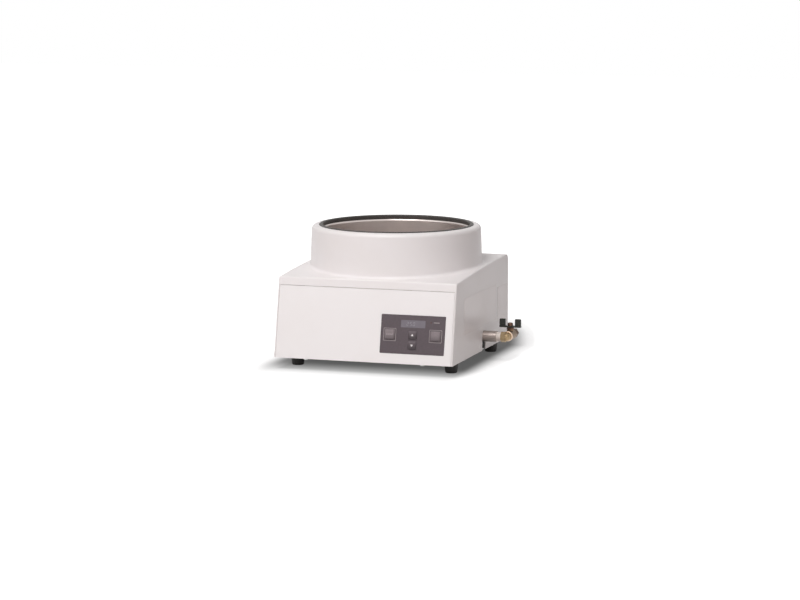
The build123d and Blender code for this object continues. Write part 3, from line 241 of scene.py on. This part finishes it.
def brushedMetal(name, look):
    # straight brushing along one axis
    finish = Finish(name, look, Metallic=1.0)
    lines = finish.noise(finish.place(look["stretch"]), look["lineScale"], detail=4.0, rough=0.65)
    cloud = finish.noise(finish.place(), look["cloudScale"])
    finish.link("Base Color", finish.shaded(lines, brushTerms))
    finish.uneven(lines + cloud * brushTerms["cloudDull"], brushTerms)
    finish.raised(lines, look["lineDepth"])
    return finish.material


turnTerms = {
    "axis": (0.0, 0.016), "nearAxis": 0.0005, "slope": 0.83, "scaleEnds": (0.5, 0.75),
    "darker": 0.84, "lighter": 1.12, "lineDull": 0.7, "cloudDull": 0.5,
    "dullEnds": (0.3, 0.9), "smoother": 0.08, "duller": 0.12,
}


def turnedSteel(name, look):
    # brushing that runs round the bath: fine across height and radius, long round the axis
    finish = Finish(name, look, Metallic=1.0)
    at = finish.node("ShaderNodeTexCoord")["Object"]
    parts = finish.node("ShaderNodeSeparateXYZ", None, {0: at})
    x = parts[0] - turnTerms["axis"][0]
    y = parts[1] - turnTerms["axis"][1]
    radius = (x * x + y * y) ** 0.5
    sweepX = (x / (radius + turnTerms["nearAxis"])) * look["roundShare"]
    sweepY = (y / (radius + turnTerms["nearAxis"])) * look["roundShare"]
    across = (parts[2] + radius * turnTerms["slope"]) * look["lineShare"]
    where = finish.node("ShaderNodeCombineXYZ", None, {0: sweepX, 1: sweepY, 2: across})[0]
    lines = finish.noise(where, 1.0, detail=5.0, rough=0.7)
    cloud = finish.noise(at, look["cloudScale"], detail=4.0, rough=0.55)
    scale = finish.between(cloud, *turnTerms["scaleEnds"]) * look["scaleShare"]
    finish.link("Base Color", finish.mix(scale, finish.shaded(lines, turnTerms), look["scaleColor"]))
    finish.uneven(lines * turnTerms["lineDull"] + cloud * turnTerms["cloudDull"], turnTerms)
    finish.raised(lines, look["lineDepth"], strength=0.6)
    return finish.material


brassTerms = {
    "patchEnds": (0.46, 0.72), "grainDull": 0.3, "dullEnds": (0.4, 1.0), "smoother": 0.08, "duller": 0.16,
}


def castBrass(name, look):
    # a cast or turned metal with a fine sheen, darker in its tarnished patches
    finish = Finish(name, look, Metallic=1.0)
    where = finish.place()
    patch = finish.noise(where, look["patchScale"], detail=5.0, rough=0.6)
    grain = finish.noise(where, look["grainScale"])
    tarnish = finish.between(patch, *brassTerms["patchEnds"]) * look["tarnishShare"]
    base = look["color"]
    if "faceColor" in look:
        # painted highlight: the front face is painted bright, as if lit from the front, then darker towards
        # the back between two places along y
        depth = finish.node("ShaderNodeSeparateXYZ", None, {0: where})[1]
        base = finish.mix(finish.between(depth, *look["faceEnds"]), look["faceColor"], look["color"])
    finish.link("Base Color", finish.mix(tarnish, base, look["tarnish"]))
    finish.uneven(patch + grain * brassTerms["grainDull"], brassTerms)
    finish.raised(grain, look["grainDepth"])
    return finish.material


woolTerms = {"darker": 0.72, "lighter": 1.12}


def fibreMat(name, look):
    finish = Finish(name, look)
    strands = finish.noise(finish.place(look["stretch"]), look["strandScale"], detail=6.0, rough=0.75)
    finish.link("Base Color", finish.shaded(strands, woolTerms))
    finish.raised(strands, look["strandDepth"])
    return finish.material


laminateTerms = {"offset": 0.5, "gap": 0.06, "blur": 0.1, "trackShare": 0.55, "darker": 0.85, "lighter": 1.15}


def boardLaminate(name, look):
    # solder mask over copper tracks
    finish = Finish(name, look, Coat_Weight=0.3, Coat_Roughness=0.2)
    where = finish.place()
    squares = finish.node("ShaderNodeTexBrick", {"offset": laminateTerms["offset"]}, {
        "Vector": where, "Scale": look["trackScale"],
        "Mortar Size": laminateTerms["gap"], "Mortar Smooth": laminateTerms["blur"],
    })["Fac"]
    base = finish.shaded(finish.noise(where, look["cloudScale"]), laminateTerms)
    finish.link("Base Color", finish.mix(squares * laminateTerms["trackShare"], base, look["trackColor"]))
    finish.raised(squares, look["trackDepth"])
    return finish.material


# The finishes of this bath
finishes = {
    "cover": mouldedPaint("coverPaint", {
        "color": fromScreen(234, 229, 229), "roughness": 0.42, "cloudScale": 9.0, "peelScale": 900.0,
        "peelDepth": 0.00002, "wornShare": 0.35, "wornColor": fromScreen(227, 220, 217),
    }),
    "panelPaint": mouldedPaint("frontPaint", {
        "color": fromScreen(239, 235, 235), "roughness": 0.38, "cloudScale": 11.0, "peelScale": 1100.0,
        "peelDepth": 0.000015, "wornShare": 0.25, "wornColor": fromScreen(233, 227, 225),
    }),
    "gasket": softRubber("gasketRubber", {
        "color": fromScreen(52, 47, 44), "roughness": 0.55, "dustScale": 60.0, "fineScale": 1600.0,
        "fineDepth": 0.00003, "dustShare": 0.35, "dustColor": fromScreen(84, 78, 74),
    }),
    "foot": softRubber("footRubber", {
        "color": fromScreen(28, 25, 23), "roughness": 0.62, "dustScale": 90.0, "fineScale": 1300.0,
        "fineDepth": 0.00004, "dustShare": 0.3, "dustColor": fromScreen(70, 66, 62),
    }),
    "bath": turnedSteel("bathSteel", {
        "color": fromScreen(207, 197, 193), "roughness": 0.34, "roundShare": 5.0, "lineShare": 2600.0,
        "cloudScale": 26.0, "scaleShare": 0.25, "scaleColor": fromScreen(168, 158, 150),
        "lineDepth": 0.000012,
    }),
    "panelPlastic": grainedPlastic("panelPlastic", {
        "color": fromScreen(77, 66, 71), "roughness": 0.5, "grainScale": 2600.0, "grainDepth": 0.00002,
    }),
    # painted shade: the large keys darken towards their lower edge
    "keyLight": grainedPlastic("startKeyPlastic", {
        "color": fromScreen(128, 117, 120), "roughness": 0.42, "grainScale": 2200.0, "grainDepth": 0.000015,
        "lowColor": fromScreen(86, 76, 79), "lowFrom": 0.055, "rowStep": 0.03, "lowEnds": (0.06, 0.42),
    }),
    # painted shade: the arrow keys darken towards their lower edge
    "keyDark": grainedPlastic("arrowKeyPlastic", {
        "color": fromScreen(98, 87, 92), "roughness": 0.42, "grainScale": 2200.0, "grainDepth": 0.000015,
        "lowColor": fromScreen(60, 50, 54), "lowFrom": 0.0432, "rowStep": 0.01568, "lowEnds": (0.25, 0.78),
    }),
    "window": grainedPlastic("windowPlastic", {
        "color": fromScreen(118, 112, 120), "roughness": 0.2, "grainScale": 400.0, "grainDepth": 0.000004,
    }),
    "print": grainedPlastic("legendPrint", {
        "color": fromScreen(228, 222, 222), "roughness": 0.5, "grainScale": 2400.0, "grainDepth": 0.00001,
    }),
    "keyPrint": grainedPlastic("keyLegendPrint", {
        "color": fromScreen(176, 166, 168), "roughness": 0.5, "grainScale": 2400.0, "grainDepth": 0.00001,
    }),
    "frameLine": grainedPlastic("frameLinePrint", {
        "color": fromScreen(150, 140, 141), "roughness": 0.5, "grainScale": 2400.0, "grainDepth": 0.00001,
    }),
    "segments": grainedPlastic("segmentPrint", {
        "color": fromScreen(146, 140, 148), "roughness": 0.3, "grainScale": 2400.0, "grainDepth": 0.000005,
    }),
    "brass": castBrass("valveBrass", {
        "color": fromScreen(164, 143, 112), "roughness": 0.42, "patchScale": 120.0, "grainScale": 2200.0,
        "tarnishShare": 0.6, "tarnish": fromScreen(104, 82, 58), "grainDepth": 0.00002,
    }),
    # painted highlight: the valve body's front face is painted bright
    "bodyBrass": castBrass("bodyBrass", {
        "color": fromScreen(116, 96, 76), "roughness": 0.45, "patchScale": 130.0, "grainScale": 2200.0,
        "tarnishShare": 0.3, "tarnish": fromScreen(82, 62, 46), "grainDepth": 0.00002,
        "faceColor": fromScreen(222, 198, 176), "faceEnds": (0.0246, 0.0272),
    }),
    "endBrass": castBrass("outletBrass", {
        "color": fromScreen(88, 68, 52), "roughness": 0.5, "patchScale": 130.0, "grainScale": 2200.0,
        "tarnishShare": 0.6, "tarnish": fromScreen(70, 50, 38), "grainDepth": 0.00002,
    }),
    "darkMetal": castBrass("glandMetal", {
        "color": fromScreen(96, 74, 62), "roughness": 0.38, "patchScale": 150.0, "grainScale": 2400.0,
        "tarnishShare": 0.6, "tarnish": fromScreen(66, 48, 42), "grainDepth": 0.00001,
    }),
    "zinc": castBrass("zincSteel", {
        "color": fromScreen(200, 200, 198), "roughness": 0.3, "patchScale": 200.0, "grainScale": 2600.0,
        "tarnishShare": 0.5, "tarnish": fromScreen(160, 160, 156), "grainDepth": 0.00001,
    }),
    "pipe": brushedMetal("pipeMetal", {
        "color": fromScreen(172, 160, 154), "roughness": 0.4, "stretch": (0.05, 1.0, 1.0),
        "lineScale": 900.0, "cloudScale": 60.0, "lineDepth": 0.00001,
    }),
    "sleeve": grainedPlastic("sleevePlastic", {
        "color": fromScreen(224, 213, 205), "roughness": 0.36, "grainScale": 1500.0, "grainDepth": 0.00001,
    }),
    "handle": softRubber("handleVinyl", {
        "color": fromScreen(30, 33, 27), "roughness": 0.45, "dustScale": 140.0, "fineScale": 1500.0,
        "fineDepth": 0.00003, "dustShare": 0.3, "dustColor": fromScreen(62, 66, 54),
    }),
    "blackPlastic": grainedPlastic("blackPlastic", {
        "color": fromScreen(44, 43, 44), "roughness": 0.45, "grainScale": 1800.0, "grainDepth": 0.00002,
    }),
    "lamp": grainedPlastic("lampPlastic", {
        "color": fromScreen(92, 74, 76), "roughness": 0.2, "grainScale": 700.0, "grainDepth": 0.000004,
    }),
    "board": boardLaminate("boardLaminate", {
        "color": fromScreen(34, 96, 60), "roughness": 0.4, "trackScale": 60.0, "cloudScale": 50.0,
        "trackColor": fromScreen(66, 132, 84), "trackDepth": 0.00003,
    }),
    "sheetSteel": brushedMetal("sheetSteel", {
        "color": fromScreen(190, 190, 188), "roughness": 0.38, "stretch": (1.0, 0.04, 1.0),
        "lineScale": 700.0, "cloudScale": 30.0, "lineDepth": 0.00001,
    }),
    "castAlloy": castBrass("castAlloy", {
        "color": fromScreen(184, 184, 182), "roughness": 0.5, "patchScale": 60.0, "grainScale": 900.0,
        "tarnishShare": 0.5, "tarnish": fromScreen(150, 150, 148), "grainDepth": 0.00006,
    }),
    "element": castBrass("elementSheath", {
        "color": fromScreen(140, 132, 124), "roughness": 0.5, "patchScale": 90.0, "grainScale": 1200.0,
        "tarnishShare": 0.8, "tarnish": fromScreen(84, 72, 66), "grainDepth": 0.00003,
    }),
    "coreLacquer": grainedPlastic("coreLacquer", {
        "color": fromScreen(58, 58, 62), "roughness": 0.5, "grainScale": 900.0, "grainDepth": 0.00003,
    }),
    "coilTape": grainedPlastic("coilTape", {
        "color": fromScreen(206, 176, 88), "roughness": 0.4, "grainScale": 500.0, "grainDepth": 0.00003,
    }),
    "whitePlastic": grainedPlastic("whitePlastic", {
        "color": fromScreen(224, 222, 216), "roughness": 0.45, "grainScale": 1600.0, "grainDepth": 0.00002,
    }),
    "insulation": fibreMat("mineralWool", {
        "color": fromScreen(206, 198, 170), "roughness": 0.95, "stretch": (1.0, 1.0, 6.0),
        "strandScale": 300.0, "strandDepth": 0.0006,
    }),
    "plateFilm": mouldedPaint("plateFilm", {
        "color": fromScreen(224, 216, 215), "roughness": 0.35, "cloudScale": 30.0, "peelScale": 1500.0,
        "peelDepth": 0.000006, "wornShare": 0.3, "wornColor": fromScreen(216, 208, 206),
    }),
    "leadRubber": softRubber("leadSilicone", {
        "color": fromScreen(168, 52, 40), "roughness": 0.5, "dustScale": 120.0, "fineScale": 900.0,
        "fineDepth": 0.00002, "dustShare": 0.2, "dustColor": fromScreen(186, 96, 84),
    }),
    "cableRubber": softRubber("cableSheath", {
        "color": fromScreen(70, 70, 74), "roughness": 0.5, "dustScale": 120.0, "fineScale": 900.0,
        "fineDepth": 0.00002, "dustShare": 0.2, "dustColor": fromScreen(110, 110, 112),
    }),
}

nodeFinish = {
    "cover": ["housing_cover"],
    "panelPaint": ["front_panel", "back_panel"],
    "sheetSteel": ["base_plate", "left_vessel_bridge", "right_vessel_bridge", "heater_clamp", "probe_clip"],
    "foot": ["front_left_foot", "front_right_foot", "rear_left_foot", "rear_right_foot"],
    "zinc": ["foot_screws", "case_screws", "back_screws", "board_screws", "inlet_screws", "clamp_nuts",
             "temperature_probe", "valve_ball"],
    "bath": ["bath_vessel", "drain_riser"],
    "gasket": ["rim_gasket"],
    "insulation": ["vessel_insulation"],
    "castAlloy": ["heater_plate", "relay_heat_sink"],
    "element": ["heater_element"],
    "blackPlastic": ["overheat_cutout", "display_module", "key_switches", "solid_state_relay", "mains_inlet"],
    "panelPlastic": ["control_panel"],
    "window": ["display_window"],
    "lamp": ["indicator_light"],
    "board": ["control_board", "power_board"],
    "keyLight": ["left_key", "right_key"],
    "keyDark": ["up_key", "down_key"],
    "whitePlastic": ["board_spacers", "terminal_block", "valve_seats"],
    "coreLacquer": ["transformer_core"],
    "coilTape": ["transformer_coil"],
    "brass": ["inlet_pins", "drain_elbow", "valve_elbow", "valve_stem"],
    "bodyBrass": ["valve_body"],
    "endBrass": ["valve_end"],
    "pipe": ["drain_pipe"],
    "sleeve": ["drain_sleeve"],
    "handle": ["valve_handle"],
    "darkMetal": ["gland_nut", "handle_nut"],
    "leadRubber": ["heater_leads"],
    "cableRubber": ["panel_cable"],
}
for finishName, names in nodeFinish.items():
    for name in names:
        for place in nodes[name].material_slots:
            place.material = finishes[finishName]
print("finishes on", sum(len(names) for names in nodeFinish.values()), "nodes")


# Modelling helpers

def moved(x, y, z):
    # a move in millimetres
    return Matrix.Translation(Vector((x, y, z)) * mm)


def turned(angle, axis):
    return Matrix.Rotation(angle, 4, axis)


def onlyThis(piece):
    bpy.ops.object.select_all(action="DESELECT")
    piece.select_set(True)
    bpy.context.view_layer.objects.active = piece


def named(name):
    piece = bpy.context.active_object
    piece.name = name
    piece.data.name = name
    return piece


def settle(piece, place=None):
    # puts the object's place into its mesh
    onlyThis(piece)
    if place is not None:
        piece.matrix_world = place @ piece.matrix_world
        bpy.context.view_layer.update()
    bpy.ops.object.transform_apply(location=True, rotation=True, scale=True)


def wear(piece, finishName, body):
    piece.data.materials.clear()
    piece.data.materials.append(finishes[finishName])
    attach(piece, body)


def pickFacing(piece, side):
    # picks the faces that look up (side 1) or down (side -1)
    squarely = 0.9
    mesh = bmesh.from_edit_mesh(piece.data)
    for face in mesh.faces:
        face.select_set(face.normal.z * side > squarely)
    bmesh.update_edit_mesh(piece.data)


def roundCorners(piece, radius, steps):
    # rounds a flat outline at its corners
    onlyThis(piece)
    bpy.ops.object.mode_set(mode="EDIT")
    bpy.ops.mesh.select_all(action="SELECT")
    bpy.ops.mesh.bevel(offset=radius * mm, segments=steps, affect="VERTICES")
    bpy.ops.object.mode_set(mode="OBJECT")


def thicken(piece, thickness):
    onlyThis(piece)
    wall = piece.modifiers.new("wall", "SOLIDIFY")
    wall.thickness = thickness * mm
    wall.offset = 1.0
    bpy.ops.object.modifier_apply(modifier=wall.name)


def outline(name, look, place=(0, 0, 0), steps=4):
    # a flat rounded rectangle, still without thickness
    bpy.ops.mesh.primitive_plane_add(size=1.0, location=Vector(place) * mm)
    strip = named(name)
    strip.scale = (look["width"] * mm, look["height"] * mm, 1.0)
    settle(strip)
    roundCorners(strip, look["round"], steps)
    return strip


def carve(piece, cutter):
    # takes the cutter's shape out of the piece and removes the cutter
    onlyThis(piece)
    cut = piece.modifiers.new("cut", "BOOLEAN")
    cut.operation = "DIFFERENCE"
    cut.solver = "EXACT"
    cut.object = cutter
    bpy.ops.object.modifier_apply(modifier=cut.name)
    bpy.data.objects.remove(cutter)


def copyOf(piece, name, place):
    twin = piece.copy()
    twin.data = piece.data.copy()
    bpy.context.collection.objects.link(twin)
    twin.name = name
    twin.data.name = name
    settle(twin, place)
    return twin


def joined(pieces, name):
    bpy.ops.object.select_all(action="DESELECT")
    for piece in pieces:
        piece.select_set(True)
    bpy.context.view_layer.objects.active = pieces[0]
    bpy.ops.object.join()
    return named(name)


def outward(piece):
    onlyThis(piece)
    bpy.ops.object.mode_set(mode="EDIT")
    bpy.ops.mesh.select_all(action="SELECT")
    bpy.ops.mesh.remove_doubles(threshold=0.002 * mm)
    bpy.ops.mesh.normals_make_consistent(inside=False)
    bpy.ops.object.mode_set(mode="OBJECT")


print("helpers ready")

# The leaning front: x across, y up the slope, z out of the sheet, from the control panel's middle
front = {
    "lean": math.radians(11.5), "edge": (-160.0, 20.0), "across": 81.5, "up": 47.0,
    "face": 0.4, "keyTop": 2.4, "largeKey": 38.0, "keyRow": -1.0, "lowKeyRow": -17.0,
}
panelMiddle = moved(
    front["across"],
    front["edge"][0] + front["up"] * math.sin(front["lean"]),
    front["edge"][1] + front["up"] * math.cos(front["lean"]),
)
panelPlace = panelMiddle @ turned(math.pi / 2 - front["lean"], "X")

# Printed frames round the two large keys
keyFrame = {"width": 21.0, "height": 20.5, "round": 1.2, "line": 0.85, "thick": 0.08}
for side, label in ((-1, "left"), (1, "right")):
    line = outline(label + "KeyFrame", keyFrame, (side * front["largeKey"], front["keyRow"], front["face"]))
    bpy.ops.object.mode_set(mode="EDIT")
    bpy.ops.mesh.select_all(action="SELECT")
    bpy.ops.mesh.inset(thickness=keyFrame["line"] * mm)
    bpy.ops.mesh.delete(type="FACE")
    bpy.ops.object.mode_set(mode="OBJECT")
    thicken(line, keyFrame["thick"])
    settle(line, panelPlace)
    wear(line, "frameLine", "case")

# Marks on the keys: triangles on the small ones, a word on the left one
keyMark = {"radius": 2.5, "round": 0.3, "thick": 0.06, "textSize": 3.1}
for row, turn, label in ((front["keyRow"], 0.0, "up"), (front["lowKeyRow"], math.pi, "down")):
    bpy.ops.mesh.primitive_circle_add(
        vertices=3, radius=keyMark["radius"] * mm, fill_type="NGON", rotation=(0, 0, turn),
        location=(0, row * mm, front["keyTop"] * mm),
    )
    arrow = named(label + "Arrow")
    settle(arrow)
    roundCorners(arrow, keyMark["round"], 2)
    thicken(arrow, keyMark["thick"])
    settle(arrow, panelPlace)
    wear(arrow, "print", label + "_key")

bpy.ops.object.text_add(location=(0, 0, 0))
words = bpy.context.active_object.data
words.body = "ON/OFF"
words.size = keyMark["textSize"] * mm
words.align_x = "CENTER"
words.align_y = "CENTER"
words.extrude = keyMark["thick"] * mm / 2
bpy.ops.object.convert(target="MESH")
letters = named("wordOnOff")
wordPlace = moved(-front["largeKey"], front["keyRow"], front["keyTop"] + keyMark["thick"] / 2)
settle(letters, panelPlace @ wordPlace)
wear(letters, "keyPrint", "left_key")

# A short printed line beside the lamp
lampLine = {"width": 9.6, "height": 1.3, "round": 0.3, "across": 38.6, "up": 20.5, "thick": 0.06}
mark = outline("lampLine", lampLine, (lampLine["across"], lampLine["up"], front["face"]))
thicken(mark, lampLine["thick"])
settle(mark, panelPlace)
wear(mark, "frameLine", "case")
print("printed marks done")

# Bare plates on the right side
plate = {"thick": 0.25, "rim": 0.8, "rise": 0.05, "side": 150.0}
plates = {
    "sidePlate": {"width": 182.0, "height": 59.0, "round": 2.5, "along": -6.0, "up": 89.5},
    "rearPlate": {"width": 58.0, "height": 58.0, "round": 2.5, "along": 121.0, "up": 84.0},
}
for name, look in plates.items():
    sheet = outline(name, look, steps=5)
    thicken(sheet, plate["thick"])
    bpy.ops.object.mode_set(mode="EDIT")
    pickFacing(sheet, 1)
    bpy.ops.mesh.inset(thickness=plate["rim"] * mm, depth=plate["rise"] * mm)
    bpy.ops.object.mode_set(mode="OBJECT")
    upright = turned(math.pi / 2, "Z") @ turned(math.pi / 2, "X")
    settle(sheet, moved(plate["side"], look["along"], look["up"]) @ upright)
    wear(sheet, "plateFilm", "case")
print("plates done")

# Digits under the window's surface: one segment is shaped, then copied
digit = {
    "long": 2.5, "wide": 0.62, "gap": 0.18, "lean": 0.1, "thick": 0.03, "core": 0.1, "dot": 0.3,
    "value": "25.0", "start": -9.2, "step": 5.2, "up": 17.0,
}
segmentsOf = {"0": "abcdef", "2": "abged", "5": "afgcd"}
bpy.ops.mesh.primitive_circle_add(
    vertices=6, radius=digit["wide"] * mm / 2, fill_type="NGON", rotation=(0, 0, math.pi / 2)
)
segment = named("segment")
settle(segment)
bpy.ops.object.mode_set(mode="EDIT")
for side in (1, -1):
    # the points on this side of the core move out to the segment's length
    mesh = bmesh.from_edit_mesh(segment.data)
    for vert in mesh.verts:
        vert.select_set(vert.co.x * side > digit["core"] * mm)
    mesh.select_flush_mode()
    bmesh.update_edit_mesh(segment.data)
    bpy.ops.transform.translate(value=(side * (digit["long"] - digit["wide"]) * mm / 2, 0, 0))
bpy.ops.object.mode_set(mode="OBJECT")
thicken(segment, digit["thick"])
half = (digit["long"] + digit["gap"]) / 2
segmentPlaces = {
    "a": (0, 2 * half, 0), "g": (0, 0, 0), "d": (0, -2 * half, 0),
    "b": (half, half, 1), "c": (half, -half, 1), "f": (-half, half, 1), "e": (-half, -half, 1),
}
leanDigit = Matrix.Identity(4)
leanDigit[0][1] = digit["lean"]
parts = []
along = digit["start"]
for symbol in digit["value"]:
    if symbol == ".":
        dotPlace = moved(along - digit["step"] / 2, digit["up"] - 2 * half, front["face"])
        parts.append(copyOf(segment, "dot", dotPlace @ Matrix.Diagonal((digit["dot"], 1.0, 1.0, 1.0))))
        continue
    base = moved(along, digit["up"], front["face"]) @ leanDigit
    for key in segmentsOf[symbol]:
        x, y, upright = segmentPlaces[key]
        parts.append(copyOf(segment, "bar", base @ moved(x, y, 0) @ turned(math.pi / 2 * upright, "Z")))
    along += digit["step"]
bpy.data.objects.remove(segment)
digits = joined(parts, "displayDigits")
settle(digits, panelPlace)
wear(digits, "segments", "case")
print("display done")


# Pan-head screws with a cross recess; each kind is shaped once, then copied to its spots
recess = {"crown": 0.5, "depth": 0.9, "taper": 0.55, "smooth": math.radians(32)}


def panScrew(look, length):
    # head up the local z from 0, shank below it
    bpy.ops.mesh.primitive_cylinder_add(
        vertices=40, radius=look["head"] * mm, depth=look["height"] * mm,
        location=(0, 0, look["height"] * mm / 2),
    )
    screw = named("screwModel")
    settle(screw)
    bpy.ops.object.mode_set(mode="EDIT")
    pickFacing(screw, 1)
    bpy.ops.mesh.bevel(offset=look["height"] * recess["crown"] * mm, segments=5, affect="EDGES")
    pickFacing(screw, -1)
    bpy.ops.mesh.inset(thickness=(look["head"] - look["shank"]) * mm)
    bpy.ops.mesh.extrude_region_move(TRANSFORM_OT_translate={"value": (0, 0, -length * mm)})
    bpy.ops.object.mode_set(mode="OBJECT")
    outward(screw)
    for turn in (0.0, math.pi / 2):
        bpy.ops.mesh.primitive_cube_add(size=1.0, location=(0, 0, look["height"] * mm), rotation=(0, 0, turn))
        cutter = named("crossCutter")
        cutter.scale = (look["cross"] * mm, look["crossWidth"] * mm, look["height"] * recess["depth"] * mm)
        settle(cutter)
        bpy.ops.object.mode_set(mode="EDIT")
        pickFacing(cutter, -1)
        bpy.ops.transform.resize(value=(recess["taper"], recess["taper"], 1.0))
        bpy.ops.object.mode_set(mode="OBJECT")
        carve(screw, cutter)
    onlyThis(screw)
    bpy.ops.object.shade_smooth_by_angle(angle=recess["smooth"])
    return screw


largeScrew = {"head": 3.8, "height": 2.95, "shank": 2.0, "cross": 4.4, "crossWidth": 0.9}
smallScrew = {"head": 2.6, "height": 1.75, "shank": 1.4, "cross": 3.0, "crossWidth": 0.65}
facingDown = turned(math.pi, "X")
facingBack = turned(-math.pi / 2, "X")
underSpots = [(x, y, 20.0) for x in (-98, 98) for y in (-151, 151)]
underSpots += [(x, y, 20.0) for x in (-143.5, 143.5) for y in (-80, 80)]
# each screw is turned a step further than the one before it, so their crosses don't line up
screwGroups = {
    "underScrews": {
        "node": "case_screws", "kind": largeScrew, "length": 8.9, "facing": facingDown,
        "spots": underSpots, "turn": 0.0, "turnStep": 0.4,
    },
    "bumperScrews": {
        "node": "foot_screws", "kind": largeScrew, "length": 14.5, "facing": facingDown,
        "spots": [(x, y, 9.0) for y in (-100, 124) for x in (-130, 130)], "turn": 0.3, "turnStep": 0.5,
    },
    "rearScrews": {
        "node": "back_screws", "kind": largeScrew, "length": 7.9, "facing": facingBack,
        "spots": [(x, 160.0, 128.4) for x in (-98, 98)], "turn": 0.5, "turnStep": 0.6,
    },
    "socketScrews": {
        "node": "inlet_screws", "kind": smallScrew, "length": 6.0, "facing": facingBack,
        "spots": [(x, 162.5, 64.0) for x in (-124, -84)], "turn": 0.2, "turnStep": 0.7,
    },
}
for name, group in screwGroups.items():
    model = panScrew(group["kind"], group["length"])
    copies = []
    for index, spot in enumerate(group["spots"]):
        turn = turned(group["turn"] + group["turnStep"] * index, "Z")
        copies.append(copyOf(model, name, moved(*spot) @ group["facing"] @ turn))
    bpy.data.objects.remove(model)
    screws = joined(copies, name)
    wear(screws, "zinc", "case")
    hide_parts(group["node"])
print("screws done")

# The floor: as it is seen, the bath's real shadow is deepened by a painted shadow, a box of painted shade
# that narrows to the back, and outside it the floor rises softly to plain white
stage = {
    "floorSize": 14.0, "floorShade": 0.65, "grainScale": 40.0, "grainShade": 0.02,
    "shadeMiddle": (-0.0105, 0.126), "shadeHalf": (0.148, 0.186), "shadeSquash": 0.28, "shadeTurn": 0.2,
    "softEdge": 0.042, "whiteFrom": 0.064, "shownShade": 0.18, "shownRise": 0.3,
    "glow": 0.09, "glowRise": 0.58, "glowFurther": 0.45, "warm": (1.0, 0.94, 0.925), "ambient": 0.25,
}
bpy.ops.mesh.primitive_plane_add(size=stage["floorSize"], location=(0, 0, 0))
floor = named("floor")
settle(floor)
floorLook = bpy.data.materials.new("studioFloor")
floorLook.use_nodes = True
floorLook.node_tree.nodes.clear()
web = Web(floorLook.node_tree)
at = web.node("ShaderNodeTexCoord")["Object"]
grain = web.node("ShaderNodeTexNoise", None, {"Vector": at, "Scale": stage["grainScale"]})["Fac"]
spot = web.node("ShaderNodeSeparateXYZ", None, {0: at})
narrower = (spot[1] - stage["shadeTurn"]).maths("MAXIMUM", 0.0) * stage["shadeSquash"]
outX = (spot[0] - stage["shadeMiddle"][0]).maths("ABSOLUTE") + narrower - stage["shadeHalf"][0]
outY = (spot[1] - stage["shadeMiddle"][1]).maths("ABSOLUTE") - stage["shadeHalf"][1]
outX = outX.maths("MAXIMUM", 0.0)
outY = outY.maths("MAXIMUM", 0.0) * stage["shadeSquash"]
far = (outX * outX + outY * outY) ** 0.5
smooth = {"interpolation_type": "SMOOTHSTEP", "clamp": True}
edges = {"Value": far, "From Min": 0.0, "From Max": stage["softEdge"]}
rise = web.node("ShaderNodeMapRange", smooth, edges)[0]
edges = {"Value": far, "From Min": stage["softEdge"], "From Max": stage["whiteFrom"]}
further = web.node("ShaderNodeMapRange", smooth, edges)[0]
# painted shadow: the floor's shown colour and glow are lowest next to the box and rise with the distance from
# it
glowing = rise * stage["glowRise"] + further * stage["glowFurther"] + stage["glow"]
shade = rise * stage["shownRise"] + grain * stage["grainShade"] + stage["shownShade"]
paperColor = (*tint(stage["warm"], stage["floorShade"]), 1.0)
paper = web.node("ShaderNodeBsdfDiffuse", None, {"Color": paperColor})[0]
shown = web.node("ShaderNodeBsdfDiffuse", None, {"Color": shade})[0]
glow = web.node("ShaderNodeEmission", None, {"Strength": glowing})[0]
lit = web.node("ShaderNodeAddShader", None, {0: shown, 1: glow})[0]
plain = web.node("ShaderNodeMixShader", None, {0: web.directRays(), 1: paper, 2: lit})[0]
web.node("ShaderNodeOutputMaterial", None, {"Surface": plain})
floor.data.materials.append(floorLook)

# The backdrop: plain white as it is seen, a warm dim room as it lights
world = bpy.data.worlds.new("studio")
bpy.context.scene.world = world
world.use_nodes = True
world.node_tree.nodes.clear()
web = Web(world.node_tree)
room = {"Color": (*stage["warm"], 1.0), "Strength": stage["ambient"]}
soft = web.node("ShaderNodeBackground", None, room)[0]
white = web.node("ShaderNodeBackground", None, {"Color": (1.0, 1.0, 1.0, 1.0), "Strength": 1.0})[0]
blend = web.node("ShaderNodeMixShader", None, {0: web.directRays(), 1: soft, 2: white})[0]
web.node("ShaderNodeOutputWorld", None, {"Surface": blend})


# Camera and lights
def pointAt(thing, place, aim):
    thing.rotation_euler = (Vector(aim) - Vector(place)).to_track_quat("-Z", "Y").to_euler()


lightAim = (0.02, 0.0, 0.08)
lights = {
    "keyLight": {"power": 11.0, "size": 1.5, "place": (-2.2, -2.4, 1.35)},
    "topLight": {"power": 46.8, "size": 1.3, "place": (-0.05, -1.7, 2.15)},
    "fillLight": {"power": 2.4, "size": 2.4, "place": (2.6, -1.8, 1.2)},
}
for name, settings in lights.items():
    bpy.ops.object.light_add(type="AREA", location=settings["place"])
    light = bpy.context.active_object
    light.name = name
    light.data.energy = settings["power"]
    light.data.shape = "DISK"
    light.data.size = settings["size"]
    pointAt(light, settings["place"], lightAim)

view = {
    "place": (1.4534, -4.4210, 0.7669), "aim": (0.0146, -0.010, 0.0995), "lens": 129.2, "sensor": 36.0,
    "reach": 60.0,
}
bpy.ops.object.camera_add(location=view["place"])
camera = bpy.context.active_object
camera.name = "photoCamera"
pointAt(camera, view["place"], view["aim"])
camera.data.sensor_width = view["sensor"]
camera.data.sensor_fit = "HORIZONTAL"
camera.data.lens = view["lens"]
camera.data.clip_end = view["reach"]
scene = bpy.context.scene
scene.camera = camera
scene.view_settings.view_transform = "Standard"
print("camera and light ready")
